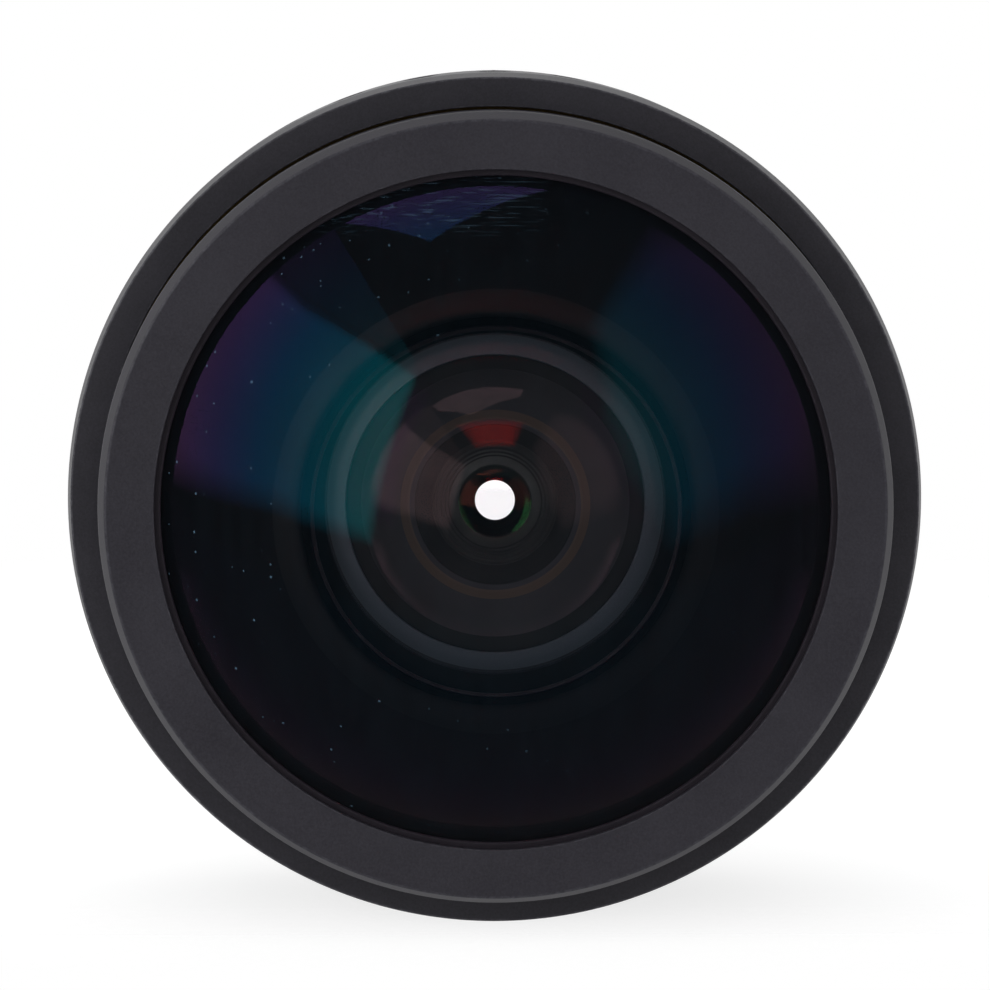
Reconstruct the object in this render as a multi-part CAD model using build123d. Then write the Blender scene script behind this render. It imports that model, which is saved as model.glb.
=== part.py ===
from build123d import *
import math
import os

# A compact manual circular fisheye lens for a mirrorless camera, in millimetres.
# Every piece is drawn about the optical axis Z: a profile is a list of (radius,
# station) points, where a station is a distance in front of the mount flange.
# The finished pieces are laid down so that the lens looks along -Y, with +Z up
# and the origin at the centre of the flange face.

# Fits and shared small sizes
running_fit = 0.05
seat_fit = 0.02
glass_fit = 0.03
cement = 0.01
edge_break = 0.2
fine_break = 0.1
overrun = 1.0

# Optical prescription, front to back; a "bend" is a surface's radius
register = 19.25
front_bend = 32.0
front_edge_thick = 2.2092
front_hollow_bend = 14.6
front_hollow_share = 0.93151
front_air = 9.967
second_bend = 99.33
second_thick = 1.8
second_hollow_bend = 8.786
second_hollow_share = 0.8195
second_air = 12.28
third_bend = 20.9
third_thick = 4.609
third_rear_bend = 96.707
third_to_stop = 3.263
stop_to_fourth = 1.13
fourth_bend = 50.031
fourth_edge_thick = 0.624
cemented_bend = 6.212
fifth_thick = 1.2
fifth_rear_bend = 15.31
fifth_air = 0.12
sixth_bend = 45.817
sixth_rear_bend = 13.174
sixth_thick = 2.4
back_focus = 17.5

# Glass edges
second_edge_radius = 13.0
third_edge_radius = 7.0
fourth_edge_radius = 5.0
fifth_step = 0.6
sixth_step = 0.7

# Front cell, from the second element outwards
second_ring_lap = 0.55
second_ring_width = 3.8
second_ring_height = 1.0
second_ring_front = 0.33
cell_flange_wall = 4.66
cell_flange_thick = 2.0
cell_flange_fit = 0.02
cell_collar_wall = 1.05
cell_collar_height = 1.8
cell_wall = 2.4
cell_cone = 2.5
cell_tail_wall = 2.57
cell_foot_height = 1.8
spacer_width = 3.42
spacer_neck = 2.9
spacer_lip = 0.5
trap_count = 4
trap_depth = 0.45
trap_pitch = 1.3
third_seat_width = 0.8

# Front of the lens, outwards from the cell
front_seat_width = 2.0
front_seal_thick = 0.3
front_seal_width = 1.7
front_ring_lap = 0.45
front_ring_wall = 1.27
front_ring_thread = 0.93
head_wall = 1.46
bezel_wall = 1.14
bezel_reach = 6.25
bezel_drop = 1.259
bezel_land = 4.75
bezel_step = 0.54
bezel_chamfer_radial = 0.56
bezel_lip = 0.5
bezel_mouth_step = 0.1

# Focusing
focus_wall = 2.4
focus_lip_height = 0.6
focus_gap = 0.16
focus_play = 0.3
focus_range = 90.0
focus_lead = 2.4
helicoid_wall = 1.73
helicoid_thread_height = 1.15
helicoid_inset = 1.148
skirt_wall = 1.55
skirt_tail = 1.3
web_thick = 1.6
web_width = 2.03
cell_seat_depth = 2.63
focus_taper_radial = 0.35
focus_taper_axial = 1.6
flute_count = 36
flute_radius = 1.5
flute_depth = 0.5
flute_start = 1.0
flute_length = 6.2

# Fixed barrel, from the focus journal outwards and from the mount forwards
barrel_wall = 2.0
index_seat_step = 0.2
index_wall = 2.98
index_step = 0.4
index_width = 3.8
rear_band_wall = 2.4
rear_band = 3.3
rear_band_taper = 0.9
rear_wall = 2.6
ring_gap = 0.15
groove_depth = 1.2
journal_reach = 2.55

# Aperture ring
aperture_wall = 2.55
aperture_width = 6.2
aperture_range = 42.0
aperture_start = -111.0
aperture_flute_count = 48
aperture_flute_radius = 1.1
aperture_flute_depth = 0.4
aperture_grip = 3.1
drive_pin_radius = 0.78
drive_pin_lap = 2.4
drive_pin_recess = 0.5

# Small screws and pins
screw_count = 3
set_screw_angle = 60.0
set_screw_radius = 0.68
set_screw_recess = 0.4
set_screw_gap = 0.04
guide_pin_radius = 1.0
focus_screw_radius = 0.6
focus_screw_inset = 1.35
mount_screw_count = 4
mount_screw_angle = 45.0
mount_screw_radius = 0.8
mount_head_radius = 1.5
mount_head_depth = 0.75
mount_screw_length = 3.6
mount_screw_gap = 2.7
bead_angle = 90.0
bead_radius = 0.9
bead_depth = 1.0
bead_proud = 0.05
spanner_width = 1.0
spanner_depth = 0.5

# Iris, outwards from the stop
stop_radius = 3.2
blade_count = 7
iris_angle = 90.0
blade_thick = 0.08
blade_pitch = 0.11
blade_clearance = 0.15
blade_width = 3.95
blade_sweep = 150.0
blade_root_angle = 12.0
sweep_shares = [0.0, 0.25, 0.5, 0.75, 1.0]
blade_turn = 21.3
pivot_margin = 0.9
pivot_radius = 0.35
pin_radius = 0.3
pin_out = 0.55
pin_along = 2.6
boss_margin = 0.4
iris_floor = 0.55
iris_play = 0.05
cam_thick = 0.58
cam_mouth = 4.6
cam_margin = 2.7
cam_slot_fit = 0.04
housing_wall = 1.45
arm_width = 3.0
arm_lap = 2.0
fork_clearance = 1.0
fork_length = 5.6
fork_width = 4.2
fork_margin = 0.74
fork_room = 1.0
window_margin = 10.0
iris_screw_inset = 0.7
iris_screw_radius = 0.45
iris_head_radius = 0.9
iris_head_height = 0.5
iris_thread = 1.4

# Rear group
rear_flange_thick = 1.08
rear_tube_wall = 1.2
rear_tube_end = 2.3
fourth_lip_width = 0.5
rear_spacer_width = 1.3
rear_ring_lap = 0.7
rear_ring_step = 0.7
rear_ring_end = 2.2

# Camera mount
mount_plate = 2.0
mount_inset = 1.0
bayonet_radius = 18.9
bayonet_wall = 2.4
bayonet_length = 5.6
lug_count = 3
lug_height = 2.0
lug_offset = 2.5
lug_thick = 1.3
lug_sweep = 44.0
lock_radius = 1.2
lock_depth = 1.4
lock_step = 1.0
lock_angle = 160.0
baffle_rim_width = 1.98
baffle_rim_thick = 0.76
baffle_catch = 0.68
baffle_wall = 0.7
baffle_depth = 2.4
baffle_gap = 0.7


def sag(bend, reach):
    """Depth of a spherical surface at a radius, negative where it bends forwards."""
    return bend - math.copysign(math.sqrt(bend * bend - reach * reach), bend)


# Radii from the second element outwards to the barrel
front_hollow_radius = front_hollow_share * front_hollow_bend
second_hollow_radius = second_hollow_share * second_hollow_bend
second_bore = second_edge_radius + glass_fit
second_ring_mouth = second_edge_radius - second_ring_lap
second_ring_radius = second_bore + second_ring_width
cell_ring_bore = second_ring_radius + seat_fit
cell_collar_radius = cell_ring_bore + cell_collar_wall
cell_flange_radius = cell_ring_bore + cell_flange_wall
cell_bore = cell_flange_radius + cell_flange_fit
web_mouth = cell_bore - web_width
seat_bore = cell_bore + front_seat_width
front_edge_radius = seat_bore - glass_fit
front_ring_mouth = front_edge_radius - front_ring_lap
front_ring_radius = seat_bore + front_ring_wall
head_radius = front_ring_radius + seat_fit + head_wall
bezel_bore = head_radius + seat_fit
bezel_radius = bezel_bore + bezel_wall
bezel_mouth_radius = seat_bore + bezel_mouth_step
focus_bore = bezel_radius + focus_gap
barrel_radius = focus_bore + focus_wall
focus_seat_bore = focus_bore + focus_lip_height
helicoid_radius = focus_seat_bore - seat_fit
helicoid_bore = helicoid_radius - helicoid_wall
helicoid_thread_radius = helicoid_bore - helicoid_thread_height
focus_journal = helicoid_bore - running_fit
land_radius = helicoid_thread_radius - running_fit
barrel_bore = focus_journal - barrel_wall
index_seat = focus_journal + index_seat_step
index_radius = index_seat + seat_fit + index_wall
journal_radius = index_seat + index_step
aperture_radius = journal_radius + running_fit + aperture_wall
rear_band_radius = journal_radius + rear_band_wall
mount_radius = rear_band_radius - mount_inset
skirt_radius = barrel_bore - running_fit
skirt_bore = skirt_radius - skirt_wall

# Radii of the small glass, the iris, the rear group and the mount
spacer_radius = second_hollow_radius + spacer_width
spacer_bore = third_edge_radius - spacer_lip
third_seat = third_edge_radius - third_seat_width
third_bore = third_edge_radius + glass_fit
cell_tail_radius = third_bore + cell_tail_wall
fourth_lip = fourth_edge_radius - fourth_lip_width
fifth_edge_radius = fourth_edge_radius + fifth_step
sixth_edge_radius = fifth_edge_radius + sixth_step
rear_spacer_bore = sixth_edge_radius - rear_spacer_width
rear_ring_bore = sixth_edge_radius - rear_ring_lap
rear_ring_radius = sixth_edge_radius + rear_ring_step
rear_tube_radius = rear_ring_radius + rear_tube_wall
blade_inner = stop_radius + blade_clearance
blade_outer = blade_inner + blade_width
pivot_circle = blade_outer + pivot_margin
cam_radius = pivot_circle + cam_margin
cam_wall = cam_radius + running_fit
housing_radius = cam_wall + housing_wall
iris_screw_circle = housing_radius - iris_screw_inset
fork_reach = skirt_bore - fork_clearance
fork_start = fork_reach - fork_length
fork_slot = drive_pin_radius + running_fit
arm_reach = fork_start + arm_lap
drive_pin_end = fork_reach - drive_pin_lap
bayonet_bore = bayonet_radius - bayonet_wall
lug_radius = bayonet_radius + lug_height
mount_screw_circle = lug_radius + mount_screw_gap
lock_circle = mount_screw_circle + lock_step
baffle_rim = bayonet_bore + baffle_rim_width
baffle_mouth = rear_tube_radius + baffle_gap
rear_wall_mouth = baffle_rim - baffle_catch

# Stations of the glass, worked out from the prescription
front_rim_sag = sag(front_bend, front_edge_radius)
front_thick = front_edge_thick + front_rim_sag - sag(front_hollow_bend, front_hollow_radius)
fourth_thick = (fourth_edge_thick + sag(fourth_bend, fourth_edge_radius)
                + sag(cemented_bend, fourth_edge_radius))
optical_length = (
    front_thick + front_air + second_thick + second_air + third_thick + third_to_stop
    + stop_to_fourth + fourth_thick + fifth_thick + fifth_air + sixth_thick + back_focus
)
front_vertex = optical_length - register
front_rear_vertex = front_vertex - front_thick
second_vertex = front_rear_vertex - front_air
second_rear_vertex = second_vertex - second_thick
third_vertex = second_rear_vertex - second_air
third_rear_vertex = third_vertex - third_thick
stop_station = third_rear_vertex - third_to_stop
fourth_vertex = stop_station - stop_to_fourth
fourth_rear_vertex = fourth_vertex - fourth_thick
fifth_rear_vertex = fourth_rear_vertex - fifth_thick
sixth_vertex = fifth_rear_vertex - fifth_air
sixth_rear_vertex = sixth_vertex - sixth_thick

front_seat = front_rear_vertex - sag(front_hollow_bend, front_hollow_radius)
second_seat = second_rear_vertex - sag(second_hollow_bend, second_hollow_radius)
third_seat_station = third_rear_vertex - sag(-third_rear_bend, third_seat) - seat_fit
doublet_seat = fourth_rear_vertex - sag(-cemented_bend, fourth_edge_radius)

# Stations of the barrel
bezel_front = front_vertex - front_rim_sag + bezel_drop
focus_front = bezel_front - bezel_reach
head_front = bezel_front - bezel_lip - seat_fit
front_ring_floor = head_front - front_ring_thread
band_front = mount_plate + rear_band
aperture_rear = band_front + running_fit
aperture_front = aperture_rear + aperture_width
index_rear = aperture_front + running_fit
index_front = index_rear + index_width
focus_rear = index_front + ring_gap
helicoid_rear = focus_rear + running_fit
helicoid_front = focus_front - helicoid_inset
barrel_front = index_front + journal_reach
head_rear = helicoid_front + focus_play
land_rear = barrel_front + focus_play
helicoid_step = barrel_front + focus_play / 2
guide_pin_station = index_rear + index_width / 2
skirt_rear = guide_pin_station - skirt_tail
seal_rear = front_seat - front_seal_thick
cell_seat = seal_rear - cell_seat_depth
focus_travel = focus_lead * focus_range / 360
focus_screw_station = focus_rear + focus_screw_inset

# Stations of the cells and the iris
cell_flange_rear = cell_seat + seat_fit
cell_front = cell_flange_rear + cell_flange_thick
second_ring_top = second_vertex - sag(second_bend, second_ring_mouth) + second_ring_front
second_ring_floor = second_ring_top - second_ring_height
spacer_rear = third_vertex - sag(third_bend, third_edge_radius) + spacer_neck
blade_stack = blade_pitch * (blade_count - 1) + blade_thick
blade_rear = stop_station - blade_stack / 2
floor_front = blade_rear - iris_play
floor_rear = floor_front - iris_floor
cam_rear = blade_rear + blade_stack + iris_play
cam_front = cam_rear + cam_thick
foot_rear = cam_front + iris_play
rear_flange_front = floor_rear - seat_fit
rear_flange_rear = rear_flange_front - rear_flange_thick
lip_rear = fourth_vertex - sag(fourth_bend, fourth_lip) + seat_fit
drive_pin_station = (aperture_rear + aperture_front) / 2
fork_height = 2 * drive_pin_radius + focus_travel + fork_margin


def turned(points):
    """A ring or disc turned from a closed profile of (radius, station) points."""
    outline = Polyline(*[(radius, 0, station) for radius, station in points], close=True)
    return revolve(make_face(outline), axis=Axis.Z)


def swept_ring(inner, outer, rear, front, start, sweep):
    """Part of a plain ring, from a start angle through a sweep, in degrees."""
    outline = Polyline((inner, 0, rear), (outer, 0, rear), (outer, 0, front), (inner, 0, front), close=True)
    block = revolve(make_face(outline), axis=Axis.Z, revolution_arc=sweep)
    return Rot(Z=start) * block


def dome(vertex, bend, reach):
    """Half outline of a spherical surface, from the axis out to a radius."""
    middle = reach / 2
    return ThreePointArc(
        (0, 0, vertex),
        (middle, 0, vertex - sag(bend, middle)),
        (reach, 0, vertex - sag(bend, reach)),
    )


def lens(front, front_curve, front_reach, rear, rear_curve, rear_reach, edge):
    """A glass element: two spherical surfaces, flat rims and a ground edge."""
    front_rim = front - sag(front_curve, front_reach)
    rear_rim = rear - sag(rear_curve, rear_reach)
    front_arc = dome(front, front_curve, front_reach)
    rear_arc = dome(rear, rear_curve, rear_reach)
    corners = [(front_reach, 0, front_rim)]
    if edge > front_reach:
        corners.append((edge, 0, front_rim))
    corners.append((edge, 0, rear_rim))
    if edge > rear_reach:
        corners.append((rear_reach, 0, rear_rim))
    rim = Polyline(*corners)
    core = Line((0, 0, front), (0, 0, rear))
    return revolve(make_face([front_arc, rim, rear_arc, core]), axis=Axis.Z)


def around(count, start, shape):
    """Copies of a shape at equal angles about the optical axis."""
    return [Rot(Z=start + 360 * step / count) * shape for step in range(count)]


def radial_pin(radius, inner, outer, station):
    """A round pin that points straight out from the axis, along +X."""
    pin = Cylinder(radius, outer - inner, align=(Align.CENTER, Align.CENTER, Align.MIN))
    return Pos(inner, 0, station) * Rot(Y=90) * pin


def axial_pin(radius, rear, front, circle):
    """A round pin parallel to the axis, on a circle, along +X."""
    pin = Cylinder(radius, front - rear, align=(Align.CENTER, Align.CENTER, Align.MIN))
    return Pos(circle, 0, rear) * pin


# Front of the lens

def front_element():
    """Deep meniscus whose dome stands in front of the bezel."""
    return lens(front_vertex, front_bend, front_edge_radius,
                front_rear_vertex, front_hollow_bend, front_hollow_radius, front_edge_radius)


def front_seal_ring():
    """Flat rubber seal between the dome's rear rim and the focus barrel."""
    outer = front_edge_radius - edge_break
    inner = outer - front_seal_width
    rear = seal_rear + seat_fit
    return turned([(inner, rear), (outer, rear), (outer, front_seat), (inner, front_seat)])


def front_retaining_ring():
    """Threaded ring that holds the dome down on its seal."""
    inner_edge = seat_bore
    mouth_rest = front_vertex - sag(front_bend, front_ring_mouth) + seat_fit
    edge_rest = front_vertex - sag(front_bend, inner_edge) + seat_fit
    floor = front_ring_floor + seat_fit
    return turned([
        (front_ring_mouth, mouth_rest), (front_ring_mouth, head_front),
        (front_ring_radius, head_front), (front_ring_radius, floor),
        (inner_edge, floor), (inner_edge, edge_rest),
    ])


def front_bezel():
    """Satin outer rim, screwed on the focus barrel; a slip-on cap grips its land."""
    step_station = focus_front + focus_gap
    rear_radius = bezel_radius - bezel_step
    chamfer_start = step_station + bezel_land
    face_radius = bezel_radius - bezel_chamfer_radial
    lip_rear_station = bezel_front - bezel_lip
    return turned([
        (bezel_bore, head_rear), (rear_radius, head_rear), (rear_radius, step_station),
        (bezel_radius, step_station), (bezel_radius, chamfer_start), (face_radius, bezel_front),
        (bezel_mouth_radius + fine_break, bezel_front), (bezel_mouth_radius, bezel_front - fine_break),
        (bezel_mouth_radius, lip_rear_station), (bezel_bore, lip_rear_station),
    ])


# Focusing

def focus_barrel():
    """Sliding barrel: front head, helicoid land, web for the cell, keyed skirt."""
    ring_bore = front_ring_radius + seat_fit
    barrel = turned([
        (skirt_bore, skirt_rear), (skirt_radius, skirt_rear), (skirt_radius, land_rear),
        (land_radius, land_rear), (land_radius, head_rear), (head_radius, head_rear),
        (head_radius, head_front), (ring_bore, head_front), (ring_bore, front_ring_floor),
        (seat_bore, front_ring_floor), (seat_bore, seal_rear), (cell_bore, seal_rear),
        (cell_bore, cell_seat), (web_mouth, cell_seat), (web_mouth, cell_seat - web_thick),
        (skirt_bore, cell_seat - web_thick),
    ])
    slot_width = 2 * (guide_pin_radius + glass_fit)
    slot_rear = skirt_rear - overrun
    slot_front = guide_pin_station + guide_pin_radius + running_fit
    slot = Pos(skirt_bore - overrun, 0, slot_rear) * Box(
        skirt_wall + 2 * overrun, slot_width, slot_front - slot_rear,
        align=(Align.MIN, Align.CENTER, Align.MIN))
    return barrel - around(screw_count, 0, slot)


def focus_helicoid():
    """Threaded sleeve that turns on the fixed barrel and drives the focus barrel."""
    sleeve = turned([
        (helicoid_bore, helicoid_rear), (helicoid_radius, helicoid_rear),
        (helicoid_radius, helicoid_front), (helicoid_thread_radius, helicoid_front),
        (helicoid_thread_radius, helicoid_step), (helicoid_bore, helicoid_step),
    ])
    hole = radial_pin(focus_screw_radius + seat_fit, helicoid_bore - overrun,
                      helicoid_radius + overrun, focus_screw_station)
    return sleeve - around(screw_count, 0, hole)


def focus_guide_screws():
    """Screws in the sleeve whose ends run in arc grooves: they hold and stop it."""
    end = focus_journal - groove_depth + running_fit * 2
    screw = radial_pin(focus_screw_radius, end, helicoid_radius - seat_fit, focus_screw_station)
    return around(screw_count, 0, screw)


def focus_ring():
    """Grip ring: fluted band, plain band, and a front lip that seats the sleeve."""
    taper_start = focus_front - focus_taper_axial
    lip_rear_station = helicoid_front + seat_fit
    ring = turned([
        (focus_seat_bore, focus_rear), (barrel_radius - edge_break, focus_rear),
        (barrel_radius, focus_rear + edge_break), (barrel_radius, taper_start),
        (barrel_radius - focus_taper_radial, focus_front),
        (focus_bore + fine_break, focus_front), (focus_bore, focus_front - fine_break),
        (focus_bore, lip_rear_station), (focus_seat_bore, lip_rear_station),
    ])
    flute = axial_pin(flute_radius, focus_rear + flute_start, focus_rear + flute_start + flute_length,
                      barrel_radius + flute_radius - flute_depth)
    hole = radial_pin(set_screw_radius + seat_fit, focus_seat_bore - overrun,
                      barrel_radius + overrun, focus_set_station())
    return ring - around(flute_count, 0, flute) - around(screw_count, set_screw_angle, hole)


def focus_set_station():
    """Station of the grip ring's set screws, in its plain front band."""
    flute_end = focus_rear + flute_start + flute_length
    return (flute_end + focus_front - focus_taper_axial) / 2


def focus_set_screws():
    """Grub screws that clamp the grip ring to the threaded sleeve."""
    screw = radial_pin(set_screw_radius, helicoid_radius + set_screw_gap,
                       barrel_radius - set_screw_recess, focus_set_station())
    return around(screw_count, set_screw_angle, screw)


# Fixed barrel

def main_barrel():
    """Fixed barrel: rear wall, aperture journal, index seat and focus journal."""
    wall_front = mount_plate + rear_wall
    barrel = turned([
        (rear_wall_mouth, mount_plate), (mount_radius + fine_break, mount_plate),
        (rear_band_radius, mount_plate + rear_band_taper), (rear_band_radius, band_front),
        (journal_radius, band_front), (journal_radius, index_rear), (index_seat, index_rear),
        (index_seat, index_front), (focus_journal, index_front), (focus_journal, barrel_front),
        (barrel_bore, barrel_front), (barrel_bore, wall_front), (rear_wall_mouth, wall_front),
    ])
    pin_half = math.degrees((drive_pin_radius + running_fit) / barrel_bore)
    slot = swept_ring(barrel_bore - overrun, journal_radius + overrun,
                      drive_pin_station - fork_slot, drive_pin_station + fork_slot,
                      aperture_start - pin_half, aperture_range + 2 * pin_half)
    screw_half = math.degrees((focus_screw_radius + running_fit) / (focus_journal - groove_depth))
    groove = swept_ring(focus_journal - groove_depth, focus_journal + overrun,
                        focus_screw_station - focus_screw_radius - running_fit,
                        focus_screw_station + focus_screw_radius + running_fit,
                        -screw_half, focus_range + 2 * screw_half)
    pin_hole = radial_pin(guide_pin_radius + seat_fit, barrel_bore - overrun,
                          index_seat + overrun, guide_pin_station)
    screw_hole = axial_pin(mount_screw_radius + seat_fit, mount_plate - overrun,
                           mount_screw_length + seat_fit, mount_screw_circle)
    bead_hole = radial_pin(bead_radius + seat_fit, rear_band_radius - bead_depth,
                           rear_band_radius + overrun, bead_station())
    cuts = [slot, Rot(Z=bead_angle) * bead_hole]
    cuts += around(screw_count, 0, groove) + around(screw_count, 0, pin_hole)
    return barrel - cuts - around(mount_screw_count, mount_screw_angle, screw_hole)


def bead_station():
    """Station of the mounting mark, in the plain part of the rear band."""
    return (mount_plate + rear_band_taper + band_front) / 2


def mount_index_bead():
    """Coloured bead that lines the lens up with the camera."""
    bead = radial_pin(bead_radius, rear_band_radius - bead_depth + seat_fit,
                      rear_band_radius + bead_proud, bead_station())
    return Rot(Z=bead_angle) * bead


def guide_pins():
    """Keys in the fixed barrel that keep the focus barrel from turning."""
    pin = radial_pin(guide_pin_radius, skirt_bore + edge_break, index_seat - running_fit, guide_pin_station)
    return around(screw_count, 0, pin)


def index_ring():
    """Fixed ring with the index and the depth scale; it keeps the aperture ring on."""
    rear = index_rear + seat_fit
    front = index_front
    bore = index_seat + seat_fit
    ring = turned([
        (bore, rear), (index_radius - edge_break, rear), (index_radius, rear + edge_break),
        (index_radius, front - edge_break), (index_radius - edge_break, front), (bore, front),
    ])
    hole = radial_pin(set_screw_radius + seat_fit, bore - overrun, index_radius + overrun, guide_pin_station)
    return ring - around(screw_count, set_screw_angle, hole)


def index_set_screws():
    """Grub screws that hold the index ring on the fixed barrel."""
    screw = radial_pin(set_screw_radius, index_seat + set_screw_gap,
                       index_radius - set_screw_recess, guide_pin_station)
    return around(screw_count, set_screw_angle, screw)


# Aperture ring

def aperture_ring():
    """Stepless aperture ring with a fluted grip at its rear."""
    bore = journal_radius + running_fit
    ring = turned([
        (bore, aperture_rear), (aperture_radius - edge_break, aperture_rear),
        (aperture_radius, aperture_rear + edge_break), (aperture_radius, aperture_front - edge_break),
        (aperture_radius - edge_break, aperture_front), (bore, aperture_front),
    ])
    flute = axial_pin(aperture_flute_radius, aperture_rear - overrun, aperture_rear + aperture_grip,
                      aperture_radius + aperture_flute_radius - aperture_flute_depth)
    hole = radial_pin(drive_pin_radius + seat_fit, bore - overrun,
                      aperture_radius + overrun, drive_pin_station)
    return ring - around(aperture_flute_count, 0, flute) - Rot(Z=aperture_start) * hole


def aperture_drive_pin():
    """Screw in the aperture ring whose long end moves the iris fork."""
    pin = radial_pin(drive_pin_radius, drive_pin_end, aperture_radius - drive_pin_recess, drive_pin_station)
    return Rot(Z=aperture_start) * pin


# Front cell

def front_cell():
    """Long cell of the second and third elements, with a foot for the iris."""
    ring_floor = second_ring_floor - fine_break
    spacer_hole = spacer_radius + glass_fit
    body_radius = second_bore + cell_wall
    waist_radius = spacer_hole + cell_wall
    collar_rear = cell_flange_rear - cell_collar_height
    body_front = collar_rear - (cell_collar_radius - body_radius)
    body_rear = second_seat - cell_wall / 2
    waist_front = body_rear - cell_cone
    waist_rear = spacer_rear - cell_wall / 2
    tail_front = waist_rear - cell_cone
    foot_front = foot_rear + cell_foot_height
    cell = turned([
        (third_seat, foot_rear), (housing_radius, foot_rear), (housing_radius, foot_front),
        (cell_tail_radius, foot_front), (cell_tail_radius, tail_front), (waist_radius, waist_rear),
        (waist_radius, waist_front), (body_radius, body_rear), (body_radius, body_front),
        (cell_collar_radius, collar_rear), (cell_collar_radius, cell_flange_rear),
        (cell_flange_radius, cell_flange_rear), (cell_flange_radius, cell_front),
        (cell_ring_bore, cell_front), (cell_ring_bore, ring_floor),
        (second_bore, ring_floor), (second_bore, second_seat - seat_fit),
        (spacer_hole, second_seat - seat_fit), (spacer_hole, spacer_rear - seat_fit),
        (third_bore, spacer_rear - seat_fit), (third_bore, third_seat_station),
        (third_seat, third_seat_station),
    ])
    hole = axial_pin(iris_screw_radius + seat_fit, foot_rear - overrun,
                     foot_rear + iris_thread, iris_screw_circle)
    return cell - around(screw_count, iris_angle, hole)


def second_element():
    """Strong negative meniscus behind the dome."""
    return lens(second_vertex, second_bend, second_edge_radius,
                second_rear_vertex, second_hollow_bend, second_hollow_radius, second_edge_radius)


def second_retaining_ring():
    """Threaded ring on the second element: the grey ring seen through the dome."""
    mouth_rest = second_vertex - sag(second_bend, second_ring_mouth) + seat_fit
    edge_rest = second_vertex - sag(second_bend, second_edge_radius) + seat_fit
    return turned([
        (second_ring_mouth, mouth_rest), (second_ring_mouth, second_ring_top),
        (second_ring_radius, second_ring_top), (second_ring_radius, second_ring_floor),
        (second_bore + seat_fit, second_ring_floor), (second_bore + seat_fit, edge_rest),
    ])


def baffle_spacer():
    """Stepped spacer tube between second and third elements, with light traps."""
    neck_radius = third_edge_radius - seat_fit
    outer_rest = third_vertex - sag(third_bend, neck_radius) + seat_fit
    inner_rest = third_vertex - sag(third_bend, spacer_bore) + seat_fit
    front = second_seat - seat_fit
    outline = [
        (neck_radius, outer_rest), (neck_radius, spacer_rear), (spacer_radius, spacer_rear),
        (spacer_radius, front), (second_hollow_radius, front),
    ]
    slope = (second_hollow_radius - spacer_bore) / (front - inner_rest)
    trap_front = front - trap_pitch / 2
    for step in range(trap_count):
        mouth = trap_front - step * trap_pitch
        throat = mouth - trap_pitch / 2
        crest = spacer_bore + slope * (mouth - inner_rest)
        outline.append((crest, mouth))
        outline.append((crest + trap_depth, mouth))
        outline.append((spacer_bore + slope * (throat - inner_rest), throat))
    outline.append((spacer_bore, inner_rest))
    return turned(outline)


def third_element():
    """Thick biconvex element in front of the iris."""
    return lens(third_vertex, third_bend, third_edge_radius,
                third_rear_vertex, -third_rear_bend, third_edge_radius, third_edge_radius)


# Iris

def pivot_place(blade):
    """Angle of a blade's pivot, with the first one at the top."""
    return iris_angle + 360 * blade / blade_count


def polar(radius, angle):
    """A point on a circle about the axis, from an angle in degrees."""
    return radius * math.cos(math.radians(angle)), radius * math.sin(math.radians(angle))


def iris_blade(blade):
    """Crescent leaf with a pivot pin behind it and a drive pin in front."""
    middle = (blade_inner + blade_outer) / 2
    half = (blade_outer - blade_inner) / 2
    reach = blade_outer + overrun
    steps = [blade_root_angle + share * (blade_sweep - blade_root_angle) for share in sweep_shares]
    fan = [(0, 0)] + [polar(2 * reach, angle) for angle in steps]
    band = (Circle(blade_outer) - Circle(blade_inner)) & make_face(Polyline(*fan, close=True))
    tip = Pos(*polar(middle, blade_sweep)) * Circle(half)
    root = Pos(*polar(middle, blade_root_angle)) * Circle(half)
    pivot_boss = Pos(pivot_circle, 0) * Circle(pivot_radius + boss_margin)
    pin_boss = Pos(pivot_circle + pin_out, pin_along) * Circle(pin_radius + boss_margin)
    tab = make_hull((root + pivot_boss + pin_boss).edges())
    level = blade_rear + blade * blade_pitch
    leaf = Pos(0, 0, level) * extrude(band + tip + tab, amount=blade_thick)
    pivot = axial_pin(pivot_radius, floor_rear + fine_break, level, pivot_circle)
    drive = Pos(pivot_circle + pin_out, pin_along, level + blade_thick) * Cylinder(
        pin_radius, cam_front - level - blade_thick, align=(Align.CENTER, Align.CENTER, Align.MIN))
    return Rot(Z=pivot_place(blade)) * (leaf + pivot + drive)


def cam_point(share):
    """Place of the first blade's drive pin, seen from the cam ring part way round."""
    swing = math.radians(blade_turn * share)
    x = pivot_circle + pin_out * math.cos(swing) - pin_along * math.sin(swing)
    y = pin_out * math.sin(swing) + pin_along * math.cos(swing)
    back = math.radians(-aperture_range * share)
    return x * math.cos(back) - y * math.sin(back), x * math.sin(back) + y * math.cos(back)


def iris_cam_ring():
    """Cam ring: its curved slots swing the blades, its arm carries the fork."""
    plate = Circle(cam_radius) - Circle(cam_mouth)
    path = ThreePointArc(cam_point(0), cam_point(1 / 2), cam_point(1))
    slot = SlotArc(path, 2 * (pin_radius + cam_slot_fit))
    for blade in range(blade_count):
        plate -= Rot(Z=pivot_place(blade)) * slot
    arm_start = cam_radius - overrun
    arm = Pos((arm_start + arm_reach) / 2, 0) * Rectangle(arm_reach - arm_start, arm_width)
    plate += Rot(Z=aperture_start) * arm
    return Pos(0, 0, cam_rear) * extrude(plate, amount=cam_thick)


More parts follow.
